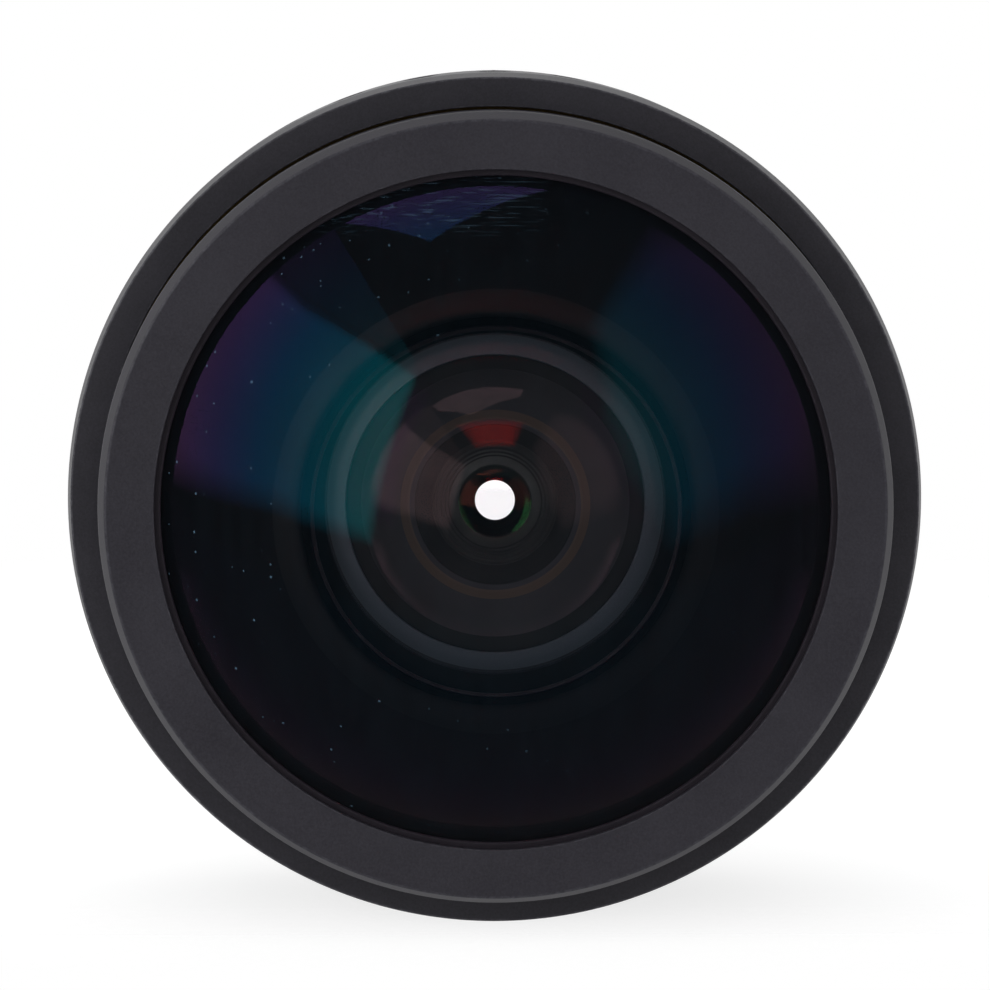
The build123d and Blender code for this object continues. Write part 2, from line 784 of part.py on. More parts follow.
def iris_fork():
    """Fork on the arm's end; the drive pin slides along it as the lens focuses."""
    block = Pos((fork_start + fork_reach) / 2, 0) * Rectangle(fork_reach - fork_start, fork_width)
    fork_depth = drive_pin_lap + fork_room
    slot_start = fork_reach - fork_depth
    slot = Pos(slot_start, 0) * Rectangle(
        fork_depth + overrun, 2 * fork_slot, align=(Align.MIN, Align.CENTER))
    fork = Pos(0, 0, cam_front + seat_fit) * extrude(block - slot, amount=fork_height)
    return Rot(Z=aperture_start) * fork


def iris_housing():
    """Cup behind the blades: pivot holes, fixed stop and a window for the arm."""
    wall_front = foot_rear - seat_fit
    cup = turned([
        (stop_radius, floor_rear), (housing_radius, floor_rear), (housing_radius, wall_front),
        (cam_wall, wall_front), (cam_wall, floor_front), (stop_radius, floor_front),
    ])
    window = swept_ring(cam_wall - running_fit, housing_radius + overrun, floor_front, wall_front + overrun,
                        aperture_start - window_margin, aperture_range + 2 * window_margin)
    pivot_hole = axial_pin(pivot_radius + glass_fit, floor_rear - overrun,
                           floor_front + overrun, pivot_circle)
    screw_hole = axial_pin(iris_screw_radius + seat_fit, floor_rear - overrun, wall_front + overrun,
                           iris_screw_circle)
    holes = around(blade_count, iris_angle, pivot_hole) + around(screw_count, iris_angle, screw_hole)
    return cup - window - holes


def iris_screws():
    """Screws that clamp the rear cell and the iris cup to the front cell."""
    head_rear_station = rear_flange_rear - iris_head_height
    shank = axial_pin(iris_screw_radius, head_rear_station, foot_rear + iris_thread - seat_fit,
                      iris_screw_circle)
    head = axial_pin(iris_head_radius, head_rear_station, rear_flange_rear - seat_fit, iris_screw_circle)
    return around(screw_count, iris_angle, shank + head)


# Rear group

def fourth_element():
    """Front half of the cemented doublet."""
    return lens(fourth_vertex, fourth_bend, fourth_edge_radius,
                fourth_rear_vertex, -cemented_bend, fourth_edge_radius, fourth_edge_radius)


def fifth_element():
    """Rear half of the cemented doublet."""
    return lens(fourth_rear_vertex - cement, -cemented_bend, fourth_edge_radius,
                fifth_rear_vertex, -fifth_rear_bend, fifth_edge_radius, fifth_edge_radius)


def rear_spacer():
    """Thin ring between the doublet and the last element."""
    front = fifth_rear_vertex - sag(-fifth_rear_bend, rear_spacer_bore) - seat_fit
    rear = sixth_vertex - sag(-sixth_bend, sixth_edge_radius) + seat_fit
    return turned([
        (rear_spacer_bore, rear), (sixth_edge_radius, rear),
        (sixth_edge_radius, front), (rear_spacer_bore, front),
    ])


def sixth_element():
    """Last element, nearest the camera."""
    return lens(sixth_vertex, -sixth_bend, sixth_edge_radius,
                sixth_rear_vertex, -sixth_rear_bend, sixth_edge_radius, sixth_edge_radius)


def rear_cell():
    """Cell of the doublet and the last element, flanged to the iris cup."""
    fourth_hole = fourth_edge_radius + glass_fit
    fifth_hole = fifth_edge_radius + glass_fit
    sixth_hole = sixth_edge_radius + glass_fit
    thread_hole = rear_ring_radius + seat_fit
    spacer_floor = fifth_rear_vertex - sag(-fifth_rear_bend, fifth_edge_radius) + running_fit
    cell = turned([
        (thread_hole, -rear_tube_end), (rear_tube_radius, -rear_tube_end),
        (rear_tube_radius, rear_flange_rear), (housing_radius, rear_flange_rear),
        (housing_radius, rear_flange_front), (fourth_lip, rear_flange_front), (fourth_lip, lip_rear),
        (fourth_hole, lip_rear), (fourth_hole, doublet_seat + seat_fit),
        (fifth_hole, doublet_seat + seat_fit),
        (fifth_hole, spacer_floor), (sixth_hole, spacer_floor), (sixth_hole, rear_ring_floor()),
        (thread_hole, rear_ring_floor()),
    ])
    hole = axial_pin(iris_screw_radius + seat_fit, rear_flange_rear - overrun,
                     rear_flange_front + overrun, iris_screw_circle)
    return cell - around(screw_count, iris_angle, hole)


def rear_ring_floor():
    """Station where the rear retaining ring's thread ends."""
    return sixth_rear_vertex - sag(-sixth_rear_bend, sixth_edge_radius) - edge_break


def rear_retaining_ring():
    """Threaded ring that holds the rear glass, with two spanner slots."""
    edge_rest = sixth_rear_vertex - sag(-sixth_rear_bend, sixth_edge_radius) - seat_fit
    bore_rest = sixth_rear_vertex - sag(-sixth_rear_bend, rear_ring_bore) - seat_fit
    floor = rear_ring_floor() - seat_fit
    ring = turned([
        (rear_ring_bore, -rear_ring_end), (rear_ring_radius, -rear_ring_end), (rear_ring_radius, floor),
        (sixth_edge_radius, floor), (sixth_edge_radius, edge_rest), (rear_ring_bore, bore_rest),
    ])
    width = rear_ring_radius - rear_ring_bore + 2 * overrun
    slot = Pos(rear_ring_bore - overrun, 0, -rear_ring_end - overrun) * Box(
        width, spanner_width, spanner_depth + overrun, align=(Align.MIN, Align.CENTER, Align.MIN))
    return ring - around(2, 0, slot)


# Camera mount

def bayonet_mount():
    """Metal mount: flange plate, spigot, three lugs and the lock pin's hole."""
    rim_bore = baffle_rim + seat_fit
    rim_floor = mount_plate - baffle_rim_thick - 2 * seat_fit
    plate = turned([
        (bayonet_bore, -bayonet_length), (bayonet_radius - edge_break, -bayonet_length),
        (bayonet_radius, edge_break - bayonet_length), (bayonet_radius, 0),
        (mount_radius - edge_break, 0), (mount_radius, edge_break), (mount_radius, mount_plate),
        (rim_bore, mount_plate), (rim_bore, rim_floor), (bayonet_bore, rim_floor),
    ])
    lug = swept_ring(bayonet_radius - edge_break, lug_radius, -lug_offset - lug_thick, -lug_offset,
                     bead_angle - lug_sweep / 2, lug_sweep)
    hole = axial_pin(mount_screw_radius + seat_fit, -overrun, mount_plate + overrun, mount_screw_circle)
    sink = Pos(mount_screw_circle, 0, mount_head_depth / 2) * Cone(
        mount_head_radius + seat_fit, mount_screw_radius + seat_fit, mount_head_depth)
    lock = Rot(Z=lock_angle) * axial_pin(lock_radius, -overrun, lock_depth, lock_circle)
    body = plate + around(lug_count, 0, lug)
    return body - around(mount_screw_count, mount_screw_angle, hole + sink) - lock


def mount_screws():
    """Countersunk screws that hold the mount on the fixed barrel."""
    head = Pos(mount_screw_circle, 0, mount_head_depth / 2) * Cone(
        mount_head_radius, mount_screw_radius, mount_head_depth)
    shank = axial_pin(mount_screw_radius, mount_head_depth - seat_fit, mount_screw_length, mount_screw_circle)
    slot = Pos(mount_screw_circle, 0, 0) * Box(
        2 * mount_head_radius - 2 * edge_break, edge_break * 2, mount_head_depth)
    return around(mount_screw_count, mount_screw_angle, head + shank - slot)


def rear_baffle():
    """Black light shield in the mount, open round the rear cell."""
    rim_front = mount_plate - seat_fit
    rim_rear = rim_front - baffle_rim_thick
    wall_radius = bayonet_bore - seat_fit
    return turned([
        (baffle_rim, rim_front), (baffle_rim, rim_rear), (wall_radius, rim_rear),
        (wall_radius, -baffle_depth), (baffle_mouth, -baffle_depth),
        (baffle_mouth, baffle_wall - baffle_depth), (wall_radius - baffle_wall, baffle_wall - baffle_depth),
        (wall_radius - baffle_wall, rim_front),
    ])


def gathered(shape):
    """One compound of the separate solids of a node."""
    solids = []
    for item in shape if isinstance(shape, list) else [shape]:
        solids.extend(item.solids())
    return Compound(children=solids)


pieces = {
    "front_element": front_element,
    "front_seal_ring": front_seal_ring,
    "front_retaining_ring": front_retaining_ring,
    "front_bezel": front_bezel,
    "focus_barrel": focus_barrel,
    "focus_helicoid": focus_helicoid,
    "focus_guide_screws": focus_guide_screws,
    "focus_ring": focus_ring,
    "focus_set_screws": focus_set_screws,
    "main_barrel": main_barrel,
    "mount_index_bead": mount_index_bead,
    "guide_pins": guide_pins,
    "index_ring": index_ring,
    "index_set_screws": index_set_screws,
    "aperture_ring": aperture_ring,
    "aperture_drive_pin": aperture_drive_pin,
    "front_cell": front_cell,
    "second_element": second_element,
    "second_retaining_ring": second_retaining_ring,
    "baffle_spacer": baffle_spacer,
    "third_element": third_element,
    "iris_cam_ring": iris_cam_ring,
    "iris_fork": iris_fork,
    "iris_housing": iris_housing,
    "iris_screws": iris_screws,
    "fourth_element": fourth_element,
    "fifth_element": fifth_element,
    "rear_spacer": rear_spacer,
    "sixth_element": sixth_element,
    "rear_cell": rear_cell,
    "rear_retaining_ring": rear_retaining_ring,
    "bayonet_mount": bayonet_mount,
    "mount_screws": mount_screws,
    "rear_baffle": rear_baffle,
}

os.makedirs("parts", exist_ok=True)
for node, make in pieces.items():
    export_step(Rot(X=90) * gathered(make()), f"parts/{node}.step")
for blade in range(blade_count):
    export_step(Rot(X=90) * gathered(iris_blade(blade)), f"parts/iris_blade_{blade + 1}.step")
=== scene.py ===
import math

import bmesh
import bpy
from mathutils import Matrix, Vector


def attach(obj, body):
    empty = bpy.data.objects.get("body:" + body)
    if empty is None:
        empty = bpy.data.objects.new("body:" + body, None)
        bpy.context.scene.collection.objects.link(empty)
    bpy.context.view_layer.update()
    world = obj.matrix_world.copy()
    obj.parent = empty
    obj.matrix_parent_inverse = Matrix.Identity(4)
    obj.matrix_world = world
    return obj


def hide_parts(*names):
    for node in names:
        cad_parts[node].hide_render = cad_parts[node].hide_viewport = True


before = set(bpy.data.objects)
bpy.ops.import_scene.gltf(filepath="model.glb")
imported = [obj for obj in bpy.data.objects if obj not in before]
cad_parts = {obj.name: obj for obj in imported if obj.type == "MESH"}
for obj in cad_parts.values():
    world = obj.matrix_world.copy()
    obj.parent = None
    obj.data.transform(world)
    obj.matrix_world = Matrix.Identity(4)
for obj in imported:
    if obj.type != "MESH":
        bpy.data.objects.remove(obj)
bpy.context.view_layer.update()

# The lens looks along -Y, with its axis on the Y axis and +Z up. A station is a distance in
# front of the mount flange, so a point (radius, station) of a turned profile lies at
# y = -station. Sizes are in millimetres and become metres in the mesh.


# The studio: a pale table, a white surround and soft lamps. The lens lies on its
# barrel, and the camera looks into the glass from a little above the axis.
MM = 0.001


def linear(hex_colour):
    """Linear colour from an sRGB hex value such as 808080."""
    channels = [int(hex_colour[place:place + 2], 16) / 255 for place in (0, 2, 4)]
    return [c / 12.92 if c <= 0.04045 else ((c + 0.055) / 1.055) ** 2.4 for c in channels] + [1.0]


def add(tree, kind, settings=None, **inputs):
    """One node: its settings, then its inputs as values or links, by name or as n0, n1."""
    node = tree.nodes.new(kind)
    for name, value in (settings or {}).items():
        setattr(node, name, value)
    for name, value in inputs.items():
        numbered = name[0] == "n" and name[1:].isdigit()
        socket = node.inputs[int(name[1:])] if numbered else node.inputs[name.replace("_", " ")]
        if isinstance(value, bpy.types.NodeSocket):
            tree.links.new(value, socket)
        else:
            socket.default_value = value
    return node


def new_material(name):
    """A material with no nodes yet, and its tree."""
    material = bpy.data.materials.new(name)
    material.use_nodes = True
    material.node_tree.nodes.clear()
    return material, material.node_tree


def placed(name, data):
    """An object for a mesh or other data, in the scene."""
    piece = bpy.data.objects.new(name, data)
    scene.collection.objects.link(piece)
    return piece


def every(spacing):
    """A pattern's scale, from the spacing of its grains in mm."""
    return 1 / (spacing * MM)


def mottle(tree, spacing, detail, dark, light):
    """Noise whose grains are spaced in mm, and the tone between two colours that it picks."""
    place = add(tree, "ShaderNodeTexCoord").outputs["Object"]
    noise = add(tree, "ShaderNodeTexNoise", Vector=place, Scale=every(spacing), Detail=detail).outputs[0]
    tone = add(tree, "ShaderNodeMix", {"data_type": "RGBA"}, n0=noise, n6=linear(dark), n7=linear(light))
    return noise, tone.outputs[2]


def seen_directly(tree, mirrored):
    """1 for rays from the camera or a glass, the given share for mirrored rays, 0 for the rest."""
    path = add(tree, "ShaderNodeLightPath")
    glossy = add(tree, "ShaderNodeMath", {"operation": "MULTIPLY"},
                 n0=path.outputs["Is Glossy Ray"], n1=mirrored)
    either = add(tree, "ShaderNodeMath", {"operation": "MAXIMUM"},
                 n0=path.outputs["Is Camera Ray"], n1=glossy.outputs[0])
    return add(tree, "ShaderNodeMath", {"operation": "MAXIMUM"},
               n0=either.outputs[0], n1=path.outputs["Is Transmission Ray"]).outputs[0]


scene = bpy.context.scene
scene.view_settings.view_transform = "Standard"
scene.cycles.max_bounces = 26
scene.cycles.transmission_bounces = 24
scene.cycles.glossy_bounces = 8
scene.cycles.transparent_max_bounces = 32
scene.cycles.caustics_refractive = False
scene.cycles.caustics_reflective = False

# White all round to the camera. Glass and metal see the white surround behind the
# lens, and a dark room on the camera's side with a dim table edge below. 1 is white.
DARK_ROOM, TABLE_EDGE, ROOM_FILL = 0.008, 0.034, 0.85
world = bpy.data.worlds.new("studio_surround")
scene.world = world
world.use_nodes = True
tree = world.node_tree
tree.nodes.clear()
facing = add(tree, "ShaderNodeTexCoord").outputs["Generated"]
way = add(tree, "ShaderNodeSeparateXYZ", Vector=facing)
behind = add(tree, "ShaderNodeMapRange", {"interpolation_type": "SMOOTHSTEP"}, Value=way.outputs["Y"],
             From_Min=0.40, From_Max=0.97, To_Min=DARK_ROOM, To_Max=1.0)
downward = add(tree, "ShaderNodeVectorMath", {"operation": "DOT_PRODUCT"}, n0=facing, n1=(0.0, 0.47, -1.0))
dim_table = add(tree, "ShaderNodeMapRange", {"interpolation_type": "SMOOTHSTEP"},
                Value=downward.outputs["Value"], From_Min=0.0, From_Max=0.14, To_Min=0.0, To_Max=TABLE_EDGE)
mirrored = add(tree, "ShaderNodeMath", {"operation": "MAXIMUM"},
               n0=behind.outputs[0], n1=dim_table.outputs[0])
path = add(tree, "ShaderNodeLightPath")
direct = add(tree, "ShaderNodeMath", {"operation": "MAXIMUM"},
             n0=path.outputs["Is Glossy Ray"], n1=path.outputs["Is Transmission Ray"])
fill = add(tree, "ShaderNodeMix", {"data_type": "FLOAT"}, n0=direct.outputs[0],
           n2=ROOM_FILL, n3=mirrored.outputs[0])
level = add(tree, "ShaderNodeMix", {"data_type": "FLOAT"},
            n0=path.outputs["Is Camera Ray"], n2=fill.outputs[0], n3=1.0)
surround = add(tree, "ShaderNodeBackground", Color=linear("FFFFFF"), Strength=level.outputs[0])
add(tree, "ShaderNodeOutputWorld", Surface=surround.outputs[0])


def softbox(name, corners, radiance, soft=0.1, colour="FFFFFF"):
    """A cloth-faced lamp that fades at its rim and that the camera doesn't see; corners in mm."""
    rim = [Vector(corner) * MM for corner in corners]
    middle = sum(rim, Vector()) / len(rim)
    face = [middle + (corner - middle) * (1 - soft) for corner in rim]
    last = len(rim)
    rows = [[place, (place + 1) % last, last + (place + 1) % last, last + place] for place in range(last)]
    mesh = bpy.data.meshes.new(name)
    mesh.from_pydata(rim + face, [], rows + [list(range(last, 2 * last))])
    mesh.attributes.new("glow", "FLOAT", "POINT").data.foreach_set("value", [0.0] * last + [1.0] * last)
    cloth, tree = new_material(name + "_diffusion_cloth")
    glow = add(tree, "ShaderNodeAttribute", {"attribute_name": "glow"})
    place = add(tree, "ShaderNodeTexCoord").outputs["Object"]
    weave = add(tree, "ShaderNodeTexNoise", Vector=place, Scale=every(500))
    even = add(tree, "ShaderNodeMapRange", Value=weave.outputs[0], From_Min=0.3, From_Max=0.7,
               To_Min=radiance * 0.9, To_Max=radiance * 1.1)
    strength = add(tree, "ShaderNodeMath", {"operation": "MULTIPLY"},
                   n0=glow.outputs["Fac"], n1=even.outputs[0])
    lit = add(tree, "ShaderNodeEmission", Color=linear(colour), Strength=strength.outputs[0])
    add(tree, "ShaderNodeOutputMaterial", Surface=lit.outputs[0])
    mesh.materials.append(cloth)
    panel = placed(name, mesh)
    panel.visible_camera = False
    return panel


# A long side panel and its paler top curtain on the left, a dimmer panel on the right,
# and a small one overhead.
LEFT, RIGHT, OVERHEAD = -600, 600, 600
softbox("left_panel", [(LEFT, y, z) for y, z in (
    (241, 580), (-18, 590), (-261, 607), (-1506, 979), (-1503, 870), (-1202, 194), (-1059, -156),
    (-1019, -238), (-393, -59), (35, -6), (241, 104))], 1.2, soft=0.2)
softbox("left_curtain", [(LEFT, y, z) for y, z in (
    (180, 900), (-102, 960), (-1383, 1039), (-1438, 925), (-285, 575), (180, 550))], 0.22, soft=0.02)
softbox("right_panel", [(RIGHT, y, z) for y, z in (
    (-106, 1018), (-1058, 1128), (-1149, 451), (-942, 88), (-636, -207), (-265, -71), (-8, -57),
    (180, 60), (200, 300), (180, 700))], 0.48, soft=0.34)
softbox("top_panel", [(x, y, OVERHEAD) for x, y in (
    (-350, -68), (-154, -242), (121, -65), (150, 60), (-380, 60))], 1.0, soft=0.03)

# A warm lamp high in front: the hollow glass shows it as the red spot over the pupil. Only rays
# that leave the glass meet it, so it throws no red on the rings and the mount.
warm_lamp = softbox("warm_lamp", [(x, y, OVERHEAD) for x, y in (
    (-285, -290), (205, -290), (180, -630), (-205, -640))], 3.6, soft=0.4, colour="FF3A28")
warm_lamp.visible_diffuse = warm_lamp.visible_glossy = False

# Pale matt laminate, nearly even. It fades into the white surround some way out and just in
# front of the glass, so no edge shows. Sizes in metres.
TABLE_SIDE, TABLE_FRONT, TABLE_BACK, TABLE_TOP = 0.22, -0.044, 0.24, -0.0301
FADE_START, FADE_END, FORWARD_START = 0.075, 0.155, -0.010
TABLE_GLOW, MIRRORED_SHARE = 0.75, 0.35
table_mesh = bpy.data.meshes.new("table")
table_mesh.from_pydata([(x, y, TABLE_TOP) for x, y in (
    (-TABLE_SIDE, TABLE_FRONT), (TABLE_SIDE, TABLE_FRONT),
    (TABLE_SIDE, TABLE_BACK), (-TABLE_SIDE, TABLE_BACK))], [], [(0, 1, 2, 3)])
table = placed("table", table_mesh)
matt_laminate, tree = new_material("pale_matt_laminate")
place = add(tree, "ShaderNodeTexCoord").outputs["Object"]
centred = add(tree, "ShaderNodeMapping", {"vector_type": "POINT"}, Vector=place,
              Location=(0.0, -0.06, 0.03))
reach = add(tree, "ShaderNodeVectorMath", {"operation": "LENGTH"}, n0=centred.outputs[0])
fade = add(tree, "ShaderNodeMapRange", {"interpolation_type": "SMOOTHSTEP"}, Value=reach.outputs["Value"],
           From_Min=FADE_START, From_Max=FADE_END)
along = add(tree, "ShaderNodeSeparateXYZ", Vector=place).outputs["Y"]
forward = add(tree, "ShaderNodeMapRange", {"interpolation_type": "SMOOTHSTEP"}, Value=along,
              From_Min=FORWARD_START, From_Max=TABLE_FRONT)
gone = add(tree, "ShaderNodeMath", {"operation": "MAXIMUM"}, n0=fade.outputs[0], n1=forward.outputs[0])
laminate_tone = mottle(tree, 1.111, 3.0, "B4B4B4", "B8B8B8")[1]
pale = add(tree, "ShaderNodeBsdfDiffuse", Color=laminate_tone)
share = add(tree, "ShaderNodeMath", {"operation": "MULTIPLY"},
            n0=seen_directly(tree, MIRRORED_SHARE), n1=TABLE_GLOW)
white = add(tree, "ShaderNodeEmission", Color=linear("FFFFFF"), Strength=share.outputs[0])
lit = add(tree, "ShaderNodeAddShader", n0=pale.outputs[0], n1=white.outputs[0])
clear = add(tree, "ShaderNodeBsdfTransparent")
faded = add(tree, "ShaderNodeMixShader", n0=gone.outputs[0], n1=lit.outputs[0], n2=clear.outputs[0])
add(tree, "ShaderNodeOutputMaterial", Surface=faded.outputs[0])
table.data.materials.append(matt_laminate)

# The photograph's view: a long lens 343 mm away, 5.8 degrees above the glass's axis.
camera = scene.camera = placed("camera", bpy.data.cameras.new("camera"))
camera.data.sensor_width = 36.0
camera.data.lens = 177.86
camera.data.clip_start = 0.01
target = Vector((0.007, -24.75, 0.378)) * MM
height, side = math.radians(5.811), math.radians(-0.579)
back = Vector((math.sin(side) * math.cos(height), -math.cos(side) * math.cos(height), math.sin(height)))
camera.location = target + back * 343.46 * MM
camera.rotation_euler = (-back).to_track_quat("-Z", "Y").to_euler()


# Front element: the deep meniscus whose dome stands in front of the bezel. Ground and
# polished high-index glass, coated on both faces, its flat rim and edge inked black.
SHARP = 32.0  # degrees; an edge sharper than this keeps its crease in the shading


def sag(bend, reach):
    """Depth of a spherical surface at a radius, negative where it bends forwards."""
    return bend - math.copysign(math.sqrt(bend * bend - reach * reach), bend)


def surface(vertex, bend, inner, outer, count):
    """Points (radius, station) of a spherical surface from one radius to another."""
    radii = [inner + (outer - inner) * step / count for step in range(count + 1)]
    return [(radius, vertex - sag(bend, radius)) for radius in radii]


def turned(name, outline, steps=256, closed=True, marks=None, sharp=SHARP):
    """A piece turned from (radius, station) points; marks give each point's wear."""
    vertices, rows, wear = [], [], []
    for place, (radius, station) in enumerate(outline):
        count = 1 if radius < 1e-6 else steps
        rows.append(list(range(len(vertices), len(vertices) + count)))
        for step in range(count):
            angle = 2 * math.pi * step / steps
            vertices.append((radius * math.cos(angle) * MM, -station * MM, radius * math.sin(angle) * MM))
            wear.append(marks[place] if marks else 0.0)
    faces = []
    pairs = list(zip(rows, rows[1:])) + ([(rows[-1], rows[0])] if closed else [])
    for near, far in pairs:
        for step in range(steps):
            after = (step + 1) % steps
            corners = [near[step % len(near)], near[after % len(near)],
                       far[after % len(far)], far[step % len(far)]]
            face = list(dict.fromkeys(corners))
            if len(face) > 2:
                faces.append(face)
    mesh = bpy.data.meshes.new(name)
    mesh.from_pydata(vertices, [], faces)
    mesh.attributes.new("wear", "FLOAT", "POINT").data.foreach_set("value", wear)
    return finished(name, mesh, sharp)


def finished(name, mesh, sharp=SHARP):
    """An object for the mesh: faces outwards, smooth but for its sharp edges."""
    work = bmesh.new()
    work.from_mesh(mesh)
    bmesh.ops.recalc_face_normals(work, faces=work.faces)
    work.to_mesh(mesh)
    work.free()
    mesh.shade_smooth()
    mesh.set_sharp_from_angle(angle=math.radians(sharp))
    return placed(name, mesh)


def lens(name, front, front_curve, front_reach, rear, rear_curve, rear_reach, edge, rows=64,
         rear_finish=0):
    """A glass element with polished faces (slot 0) and inked rims and edge (slot 1).

    Each face has its station, bend and outer radius; the flat rims reach out to the edge.
    """
    bevel, seat_gap, near_enough = 0.12, 0.01, 0.02
    outline = surface(front, front_curve, 0, front_reach, rows)
    front_end = outline[-1][0]
    front_rim = front - sag(front_curve, front_reach)
    rear_rim = rear - sag(rear_curve, rear_reach) + seat_gap
    if edge > front_reach:
        outline.append((edge - bevel, front_rim))
    outline += [(edge, front_rim - bevel), (edge, rear_rim + bevel)]
    if edge > rear_reach:
        outline.append((edge - bevel, rear_rim))
    outline += surface(rear, rear_curve, rear_reach, 0, rows)
    piece = turned(name, outline, closed=False, sharp=20.0)
    for face in piece.data.polygons:
        corners = [piece.data.vertices[v].co for v in face.vertices]
        reach = sum(math.hypot(v.x, v.z) for v in corners) / len(corners) / MM
        station = -sum(v.y for v in corners) / len(corners) / MM
        on_front = reach < front_end and abs(station - (front - sag(front_curve, reach))) < near_enough
        on_rear = reach < rear_reach and abs(station - (rear - sag(rear_curve, reach))) < near_enough
        face.material_index = 0 if on_front else rear_finish if on_rear else 1
    return piece


def from_axis(tree, place):
    """A point's coordinates and its distance from the optical axis."""
    split = add(tree, "ShaderNodeSeparateXYZ", Vector=place).outputs
    flat = add(tree, "ShaderNodeCombineXYZ", X=split["X"], Z=split["Z"])
    reach = add(tree, "ShaderNodeVectorMath", {"operation": "LENGTH"}, n0=flat.outputs[0])
    return split, reach.outputs["Value"]


def dusted(tree, glass, share, colour):
    """The glass with dust of a colour over a share of it."""
    dust = add(tree, "ShaderNodeBsdfDiffuse", Color=linear(colour))
    return add(tree, "ShaderNodeMixShader", n0=share, n1=glass, n2=dust.outputs[0]).outputs[0]


def handled_dust_and_painted_tint(tree, glass):
    """The glass under what handling leaves: a faint veil in wiped streaks, specks, hairlines, in a pale
    blue that is partly a painted reflection of the coating's teal.
    """
    place = add(tree, "ShaderNodeTexCoord").outputs["Object"]
    split, reach = from_axis(tree, place)
    # Streaks of a cloth drawn up and down, about 0.7 mm apart.
    upright = add(tree, "ShaderNodeMapping", Vector=place, Scale=(1.0, 0.3, 0.05))
    streak = add(tree, "ShaderNodeTexNoise", Vector=upright.outputs[0], Scale=every(0.7143), Detail=3.0)
    veil = add(tree, "ShaderNodeMapRange", Value=streak.outputs[0], From_Min=0.35, From_Max=0.7,
               To_Min=0.0055, To_Max=0.0085)
    # Specks: some cells of a 0.7 mm scatter, more of them near the rim, brighter on the left.
    scatter = add(tree, "ShaderNodeTexVoronoi", Vector=place, Scale=every(0.6667))
    draw = add(tree, "ShaderNodeSeparateColor", Color=scatter.outputs["Color"]).outputs
    often = add(tree, "ShaderNodeMapRange", Value=reach, From_Min=12 * MM, From_Max=22.5 * MM,
                To_Min=0.05, To_Max=0.40)
    picked = add(tree, "ShaderNodeMath", {"operation": "LESS_THAN"}, n0=draw[0], n1=often.outputs[0])
    size = add(tree, "ShaderNodeMapRange", Value=draw[1], To_Min=0.05, To_Max=0.16)
    inside = add(tree, "ShaderNodeMath", {"operation": "LESS_THAN"},
                 n0=scatter.outputs["Distance"], n1=size.outputs[0])
    speck = add(tree, "ShaderNodeMath", {"operation": "MULTIPLY"},
                n0=picked.outputs[0], n1=inside.outputs[0])
    bright = add(tree, "ShaderNodeMapRange", Value=split["X"], From_Min=4 * MM, From_Max=-17 * MM,
                 To_Min=0.03, To_Max=0.22)
    # Hairlines: long thin wisps across the upper part. Real ones are finer than the 0.1 mm
    # that they need to show here.
    level = add(tree, "ShaderNodeMapping", Vector=place, Scale=(0.06, 0.3, 1.0), Rotation=(0.0, 0.06, 0.0))
    wisp = add(tree, "ShaderNodeTexNoise", Vector=level.outputs[0], Scale=every(0.125), Detail=1.0)
    sharp = add(tree, "ShaderNodeMapRange", Value=wisp.outputs[0], From_Min=0.58, From_Max=0.72,
                To_Min=0.0, To_Max=0.10)
    upper = add(tree, "ShaderNodeMapRange", Value=split["Z"], From_Min=18.8 * MM, From_Max=20.5 * MM)
    across = add(tree, "ShaderNodeMapRange", Value=split["X"], From_Min=4 * MM, From_Max=1 * MM)
    where = add(tree, "ShaderNodeMath", {"operation": "MULTIPLY"},
                n0=upper.outputs[0], n1=across.outputs[0])
    hair = add(tree, "ShaderNodeMath", {"operation": "MULTIPLY"}, n0=sharp.outputs[0], n1=where.outputs[0])
    lines = add(tree, "ShaderNodeMath", {"operation": "ADD"}, n0=veil.outputs[0], n1=hair.outputs[0])
    marks = add(tree, "ShaderNodeMath", {"operation": "MULTIPLY_ADD"}, n0=speck.outputs[0],
                n1=bright.outputs[0], n2=lines.outputs[0])
    # The dust's pale blue is partly a painted reflection, the teal that the coating mirrors; the veil,
    # specks and hairlines themselves are dust.
    return dusted(tree, glass, marks.outputs[0], "84AECC")


def settled_haze(tree, glass, share):
    """The glass under a thin haze that settled outside its clear middle, 2 to 4 mm out."""
    place = add(tree, "ShaderNodeTexCoord").outputs["Object"]
    outside = add(tree, "ShaderNodeMapRange", {"interpolation_type": "SMOOTHSTEP"},
                  Value=from_axis(tree, place)[1], From_Min=2 * MM, From_Max=4 * MM)
    cloud = add(tree, "ShaderNodeTexNoise", Vector=place, Scale=every(4), Detail=3.0)
    film = add(tree, "ShaderNodeMapRange", Value=cloud.outputs[0], From_Min=0.3, From_Max=0.7,
               To_Min=share * 0.8, To_Max=share * 1.2)
    marks = add(tree, "ShaderNodeMath", {"operation": "MULTIPLY"},
                n0=outside.outputs[0], n1=film.outputs[0])
    return dusted(tree, glass, marks.outputs[0], "C8C0C4")


def lamps_pass(tree, skin):
    """The surface, but clear to the lamps' straight shadow rays."""
    clear = add(tree, "ShaderNodeBsdfTransparent", Color=linear("FFFFFF"))
    shadow = add(tree, "ShaderNodeLightPath").outputs["Is Shadow Ray"]
    return add(tree, "ShaderNodeMixShader", n0=shadow, n1=skin, n2=clear.outputs[0]).outputs[0]


def coated_glass(name, ior, film, film_ior, tint, dust_and_painted_tint=False, haze=0.0):
    """Polished optical glass under a coating's film in nm, which colours what it mirrors."""
    material, tree = new_material(name)
    skin = add(tree, "ShaderNodeBsdfPrincipled", Base_Color=linear("FFFFFF"), Roughness=0.0, IOR=ior,
               Transmission_Weight=1.0, Thin_Film_Thickness=film, Thin_Film_IOR=film_ior,
               Specular_Tint=linear(tint)).outputs[0]
    if dust_and_painted_tint:
        skin = handled_dust_and_painted_tint(tree, skin)
    if haze:
        skin = settled_haze(tree, skin, haze)
    add(tree, "ShaderNodeOutputMaterial", Surface=lamps_pass(tree, skin))
    return material


